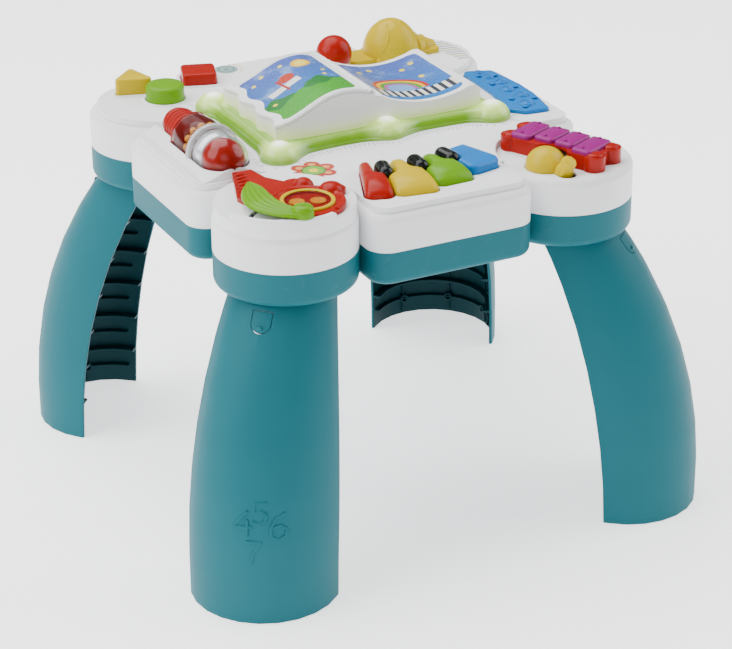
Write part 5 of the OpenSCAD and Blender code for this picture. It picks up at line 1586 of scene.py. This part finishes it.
class PLAYTABLE_OT_right_side(bpy.types.Operator):
    """Blue relief plate, yellow horn and the red ball on its slide"""

    bl_idname = "playtable.right_side"
    bl_label = "Relief plate, horn and slider"

    knob_place = (53, 154)
    slot_place = (40.5, 154)

    def execute(self, context):
        self.relief()
        self.horn()
        self.slider()
        return {"FINISHED"}

    def relief(self):
        """Plate with a row of rings, each with a stud in its middle, and drops between them"""
        corners = [(160, -40), (170, -50), (189, -52), (196, -12), (197, 18), (192, 66), (172, 73), (169, 10)]
        rings = ((178, -36, 9.0), (186, -13, 7.5), (181, 9, 8.5), (186, 31, 7.5), (182, 51, 7.0),
                 (180, 67, 5.0))
        drops = ((170, -20, 20), (193, -28, 60), (175, 28, 100), (192, 10, 45), (190, 50, 80), (174, 56, 30),
                 (171, -46, 10))
        drop = [(0.2, -0.3), (2.6, 0.4), (3.0, 1.2), (2.2, 2.0), (0, 2.4)]
        stud = [(1.3, -0.3), (1.2, 0.9), (0, 1.3)]
        top = field_z + 4.0
        mesh = bmesh.new()
        add_cushion(mesh, rounded_outline(corners, 5.6, 6, 5.0), field_z - 4, top, top=1.8)
        for x, y, r in rings:
            ring = [(r, -0.3), (r - 0.4, 1.2), (r - 1.3, 1.9), (r - 2.2, 1.4), (r - 2.7, 0.4),
                    (r * 0.35, 0.6), (r * 0.2, 1.8), (0, 2.3)]
            add_lathe(mesh, ring, (x, y, top), 32)
        for x, y, turn in drops:
            way = Vector((cos(radians(turn)), sin(radians(turn)), 0))
            place = Vector((x, y, top))
            add_lathe(mesh, drop, place, 20, way * 0.25 + UP)
            add_lathe(mesh, stud, place + way * 4.6, 16)
        add_toy("relief_plate", mesh, "blue", "panel", replaces=("relief_panel",))

    def horn(self):
        """Tall dome over the horn's bell, ridges round its cone and three leaning ridges on the dome"""
        finish_node("horn", glossy_moulding("yellow"))
        base = Vector((130, 172, field_z + 2))
        radius, rise = 31.0, 1.25
        mesh = bmesh.new()
        add_lathe(mesh, arc_points((0, 0), radius + 0.2, 0, 90, 16, height=radius * rise), base, 64)
        for x, r in ((16, 25.2), (27, 19.6), (38, 13.8)):
            rings = []
            for a in (radians(2 + 176 * k / 24) for k in range(25)):
                centre = base + Vector((x, r * cos(a), r * sin(a)))
                out = Vector((0.4, cos(a), sin(a))).normalized()
                rings.append(oval(centre, out * 1.1, ALONG_X * 1.4, 10))
            add_solid(mesh, rings)
        for turn, tall in ((-50, 62), (-95, 70), (-140, 62)):
            rings = []
            for k in range(15):
                b = radians(8 + tall * k / 14)
                a = radians(turn + 16 * sin(k / 14 * pi))
                out = Vector((cos(a) * cos(b), sin(a) * cos(b), rise * sin(b)))
                side = Vector((-sin(a), cos(a), 0))
                width = 1.5 * sin(pi * (k + 0.6) / 15.2)
                rings.append(oval(base + out * (radius - 0.1), out * 0.8, side * width, 8))
            add_solid(mesh, rings)
        add_toy("horn_ridges", mesh, "yellow")

    def slider(self):
        """The ball on its foot, and the yellow rim round its slot"""
        foot = [(4, -19.3), (6.8, -19.1), (7, -18.4), (6.2, -17.9)]
        mesh = bmesh.new()
        add_lathe(mesh, foot + arc_points((0, 0), 19, -70, 90, 26), (*self.knob_place, field_z + 20), 56)
        add_toy("slide_knob", mesh, "red", "slider", replaces=("slide_ball",))
        bezel = bmesh.new()
        outline = turned(rounded_box(20.5, 0.1, 5.0, 10, 4.0), self.slot_place, 0)
        profile = ((0, 0.0), (0, 0.22), (-1.0, 0.28), (-2.6, 0.22), (-3.0, 0.0))
        add_rings(bezel, lip_rings(outline, profile, field_z))
        add_toy("slide_bezel", bezel, "yellow")


class PLAYTABLE_OT_prints(bpy.types.Operator):
    """Generic prints on the deck: badge, roundel, stripes and ticks"""

    bl_idname = "playtable.prints"
    bl_label = "Deck prints"

    roundel_centre = (-47, 211)

    def execute(self, context):
        self.badge()
        self.roundel()
        self.stripes()
        self.ticks()
        return {"FINISHED"}

    def lay_films(self, name, outlines, finish):
        """Thin films of those outlines on the playing field"""
        mesh = bmesh.new()
        film = sizes().film / MM
        for outline in outlines:
            add_rings(mesh, [[(x, y, field_z + z) for x, y in outline] for z in (0, film)], last_cap=True)
        add_piece(name, mesh, "deck", finish)

    def badge(self):
        """The outline runs round the six petals"""
        reach, petal = BADGE["reach"], BADGE["petal"]
        outline = []
        for turn in range(0, 360, 3):
            far = 0.0
            for k in range(BADGE["petals"]):
                b = radians(turn - BADGE["turn"] - 360 / BADGE["petals"] * k)
                inside = petal ** 2 - (reach * sin(b)) ** 2
                if inside > 0:
                    far = max(far, reach * cos(b) + sqrt(inside))
            outline.append(turned([(far, 0)], BADGE["centre"], turn)[0])
        self.lay_films("badge_film", [outline], badge_print())

    def roundel(self):
        centre = self.roundel_centre
        self.lay_films("roundel_film", [arc_points(centre, 12.5, 0, 355, 71)], roundel_print(centre))
        arc = arc_points(centre, 17.5, -60, 60, 20) + arc_points(centre, 16.2, 60, -60, 20)
        self.lay_films("roundel_arc", [arc], ink_print("yellow", (0.80, 0.62, 0.10)))

    def stripes(self):
        """Bands of three colours across the back right lobe"""
        tints = (("violet", (0.36, 0.27, 0.42)), ("green", (0.30, 0.48, 0.20)), ("olive", (0.34, 0.36, 0.22)))
        for first, (name, rgb) in enumerate(tints):
            outlines = []
            for k in range(first, 9, len(tints)):
                y = 128 + 7.2 * k
                start = 186 + 2.2 * sin(y / 9)
                end = 206 - 0.006 * (y - 156) ** 2
                outlines.append([(start + 0.26 * k, y - 2.4), (end, y - 4.4), (end, y - 1.0),
                                 (start, y + 1.2)])
            self.lay_films("stripes_" + name, outlines, ink_print(name, rgb))

    def ticks(self):
        """Short radial ticks outside the green frame, every fifth one longer; none where the roller lies"""
        reach = sizes().tick / MM
        half = 0.45
        outlines = []
        for k, p, along, out in path_sides(frame_path(150)):
            start = p + out * (12 + 10 * lamp_nearness(p))
            end = start + out * reach * (1.0 if k % 5 == 0 else 0.62)
            corners = [start - along * half, start + along * half, end + along * half, end - along * half]
            if min(c.x for c in corners) >= -134 or abs(p.y) >= 80:
                outlines.append([(c.x, c.y) for c in corners])
        self.lay_films("frame_ticks", outlines, ink_print("grey", tuple(colours().ink)))


class PLAYTABLE_OT_studio(bpy.types.Operator):
    """Pale floor, soft lights and the camera"""

    bl_idname = "playtable.studio"
    bl_label = "Studio"

    aim = Vector((0, 0, 0.25))

    def execute(self, context):
        self.floor()
        self.lights()
        self.camera()
        return {"FINISHED"}

    def floor(self):
        mesh = bmesh.new()
        bmesh.ops.create_grid(mesh, x_segments=8, y_segments=8, size=6.0)
        data = bpy.data.meshes.new("studio_floor")
        mesh.to_mesh(data)
        mesh.free()
        floor = bpy.data.objects.new("studio_floor", data)
        bpy.context.scene.collection.objects.link(floor)
        floor.location.z = -0.0002
        f = Finish("studio_floor")
        base = tuple(bpy.context.scene.studio.floor)
        cloud = f.noise(400, 2)
        data.materials.append(f.surface(Base_Color=f.blend(cloud, base, shade(base, 0.985)), Roughness=0.6,
                                        Emission_Color=(*base, 1.0), Emission_Strength=1.5))

    def lights(self):
        world = bpy.data.worlds.new("studio_world")
        bpy.context.scene.world = world
        world.use_nodes = True
        background = world.node_tree.nodes["Background"]
        background.inputs["Color"].default_value = (0.95, 0.97, 1.0, 1.0)
        background.inputs["Strength"].default_value = 0.20
        for name, place, size, power in (
            ("left_box", (-2.6, 0.2, 2.2), 3.0, 108),
            ("right_box", (2.6, -0.6, 1.9), 3.0, 84),
            ("top_box", (-0.4, 1.2, 3.2), 3.6, 160),
            ("front_fill", (-1.2, -3.4, 2.4), 2.6, 26),
        ):
            light = bpy.data.lights.new(name, "AREA")
            light.shape = "DISK"
            light.size = size
            light.energy = power
            lamp = bpy.data.objects.new(name, light)
            bpy.context.scene.collection.objects.link(lamp)
            lamp.location = place
            lamp.rotation_euler = (self.aim - Vector(place)).to_track_quat("-Z", "Y").to_euler()

    def camera(self):
        studio = bpy.context.scene.studio
        data = bpy.data.cameras.new("studio_camera")
        data.lens = studio.lens
        data.sensor_width = 36
        data.clip_end = 20
        camera = bpy.data.objects.new("studio_camera", data)
        bpy.context.scene.collection.objects.link(camera)
        camera.matrix_world = Matrix.Translation(studio.place)
        for turn, axis in ((studio.yaw, "Z"), (pi / 2 - studio.pitch, "X"), (studio.roll, "Z")):
            camera.matrix_world = camera.matrix_world @ Matrix.Rotation(turn, 4, axis)
        bpy.context.scene.camera = camera


STEPS = (
    PLAYTABLE_OT_deck,
    PLAYTABLE_OT_legs,
    PLAYTABLE_OT_inside,
    PLAYTABLE_OT_book,
    PLAYTABLE_OT_lights,
    PLAYTABLE_OT_roller,
    PLAYTABLE_OT_strummer,
    PLAYTABLE_OT_keyboard,
    PLAYTABLE_OT_chimes,
    PLAYTABLE_OT_shapes,
    PLAYTABLE_OT_right_side,
    PLAYTABLE_OT_prints,
    PLAYTABLE_OT_studio,
)


class PLAYTABLE_PT_panel(bpy.types.Panel):
    """Lists the pieces and their settings"""

    bl_idname = "PLAYTABLE_PT_panel"
    bl_label = "Play table"
    bl_space_type = "VIEW_3D"
    bl_region_type = "UI"
    bl_category = "Play table"

    def draw(self, context):
        layout = self.layout
        for settings in (context.scene.table_colours, context.scene.table_sizes, context.scene.studio):
            box = layout.box()
            for name in settings.__annotations__:
                box.prop(settings, name)
        for step in STEPS:
            layout.operator(step.bl_idname)


CLASSES = (TableColours, TableSizes, StudioSettings, *STEPS, PLAYTABLE_PT_panel)


def register():
    for cls in CLASSES:
        bpy.utils.register_class(cls)
    bpy.types.Scene.table_colours = bpy.props.PointerProperty(type=TableColours)
    bpy.types.Scene.table_sizes = bpy.props.PointerProperty(type=TableSizes)
    bpy.types.Scene.studio = bpy.props.PointerProperty(type=StudioSettings)


def unregister():
    del bpy.types.Scene.studio
    del bpy.types.Scene.table_sizes
    del bpy.types.Scene.table_colours
    for cls in reversed(CLASSES):
        bpy.utils.unregister_class(cls)


def main():
    register()
    for step in STEPS:
        group, name = step.bl_idname.split(".")
        getattr(getattr(bpy.ops, group), name)()


if __name__ == "__main__":
    main()
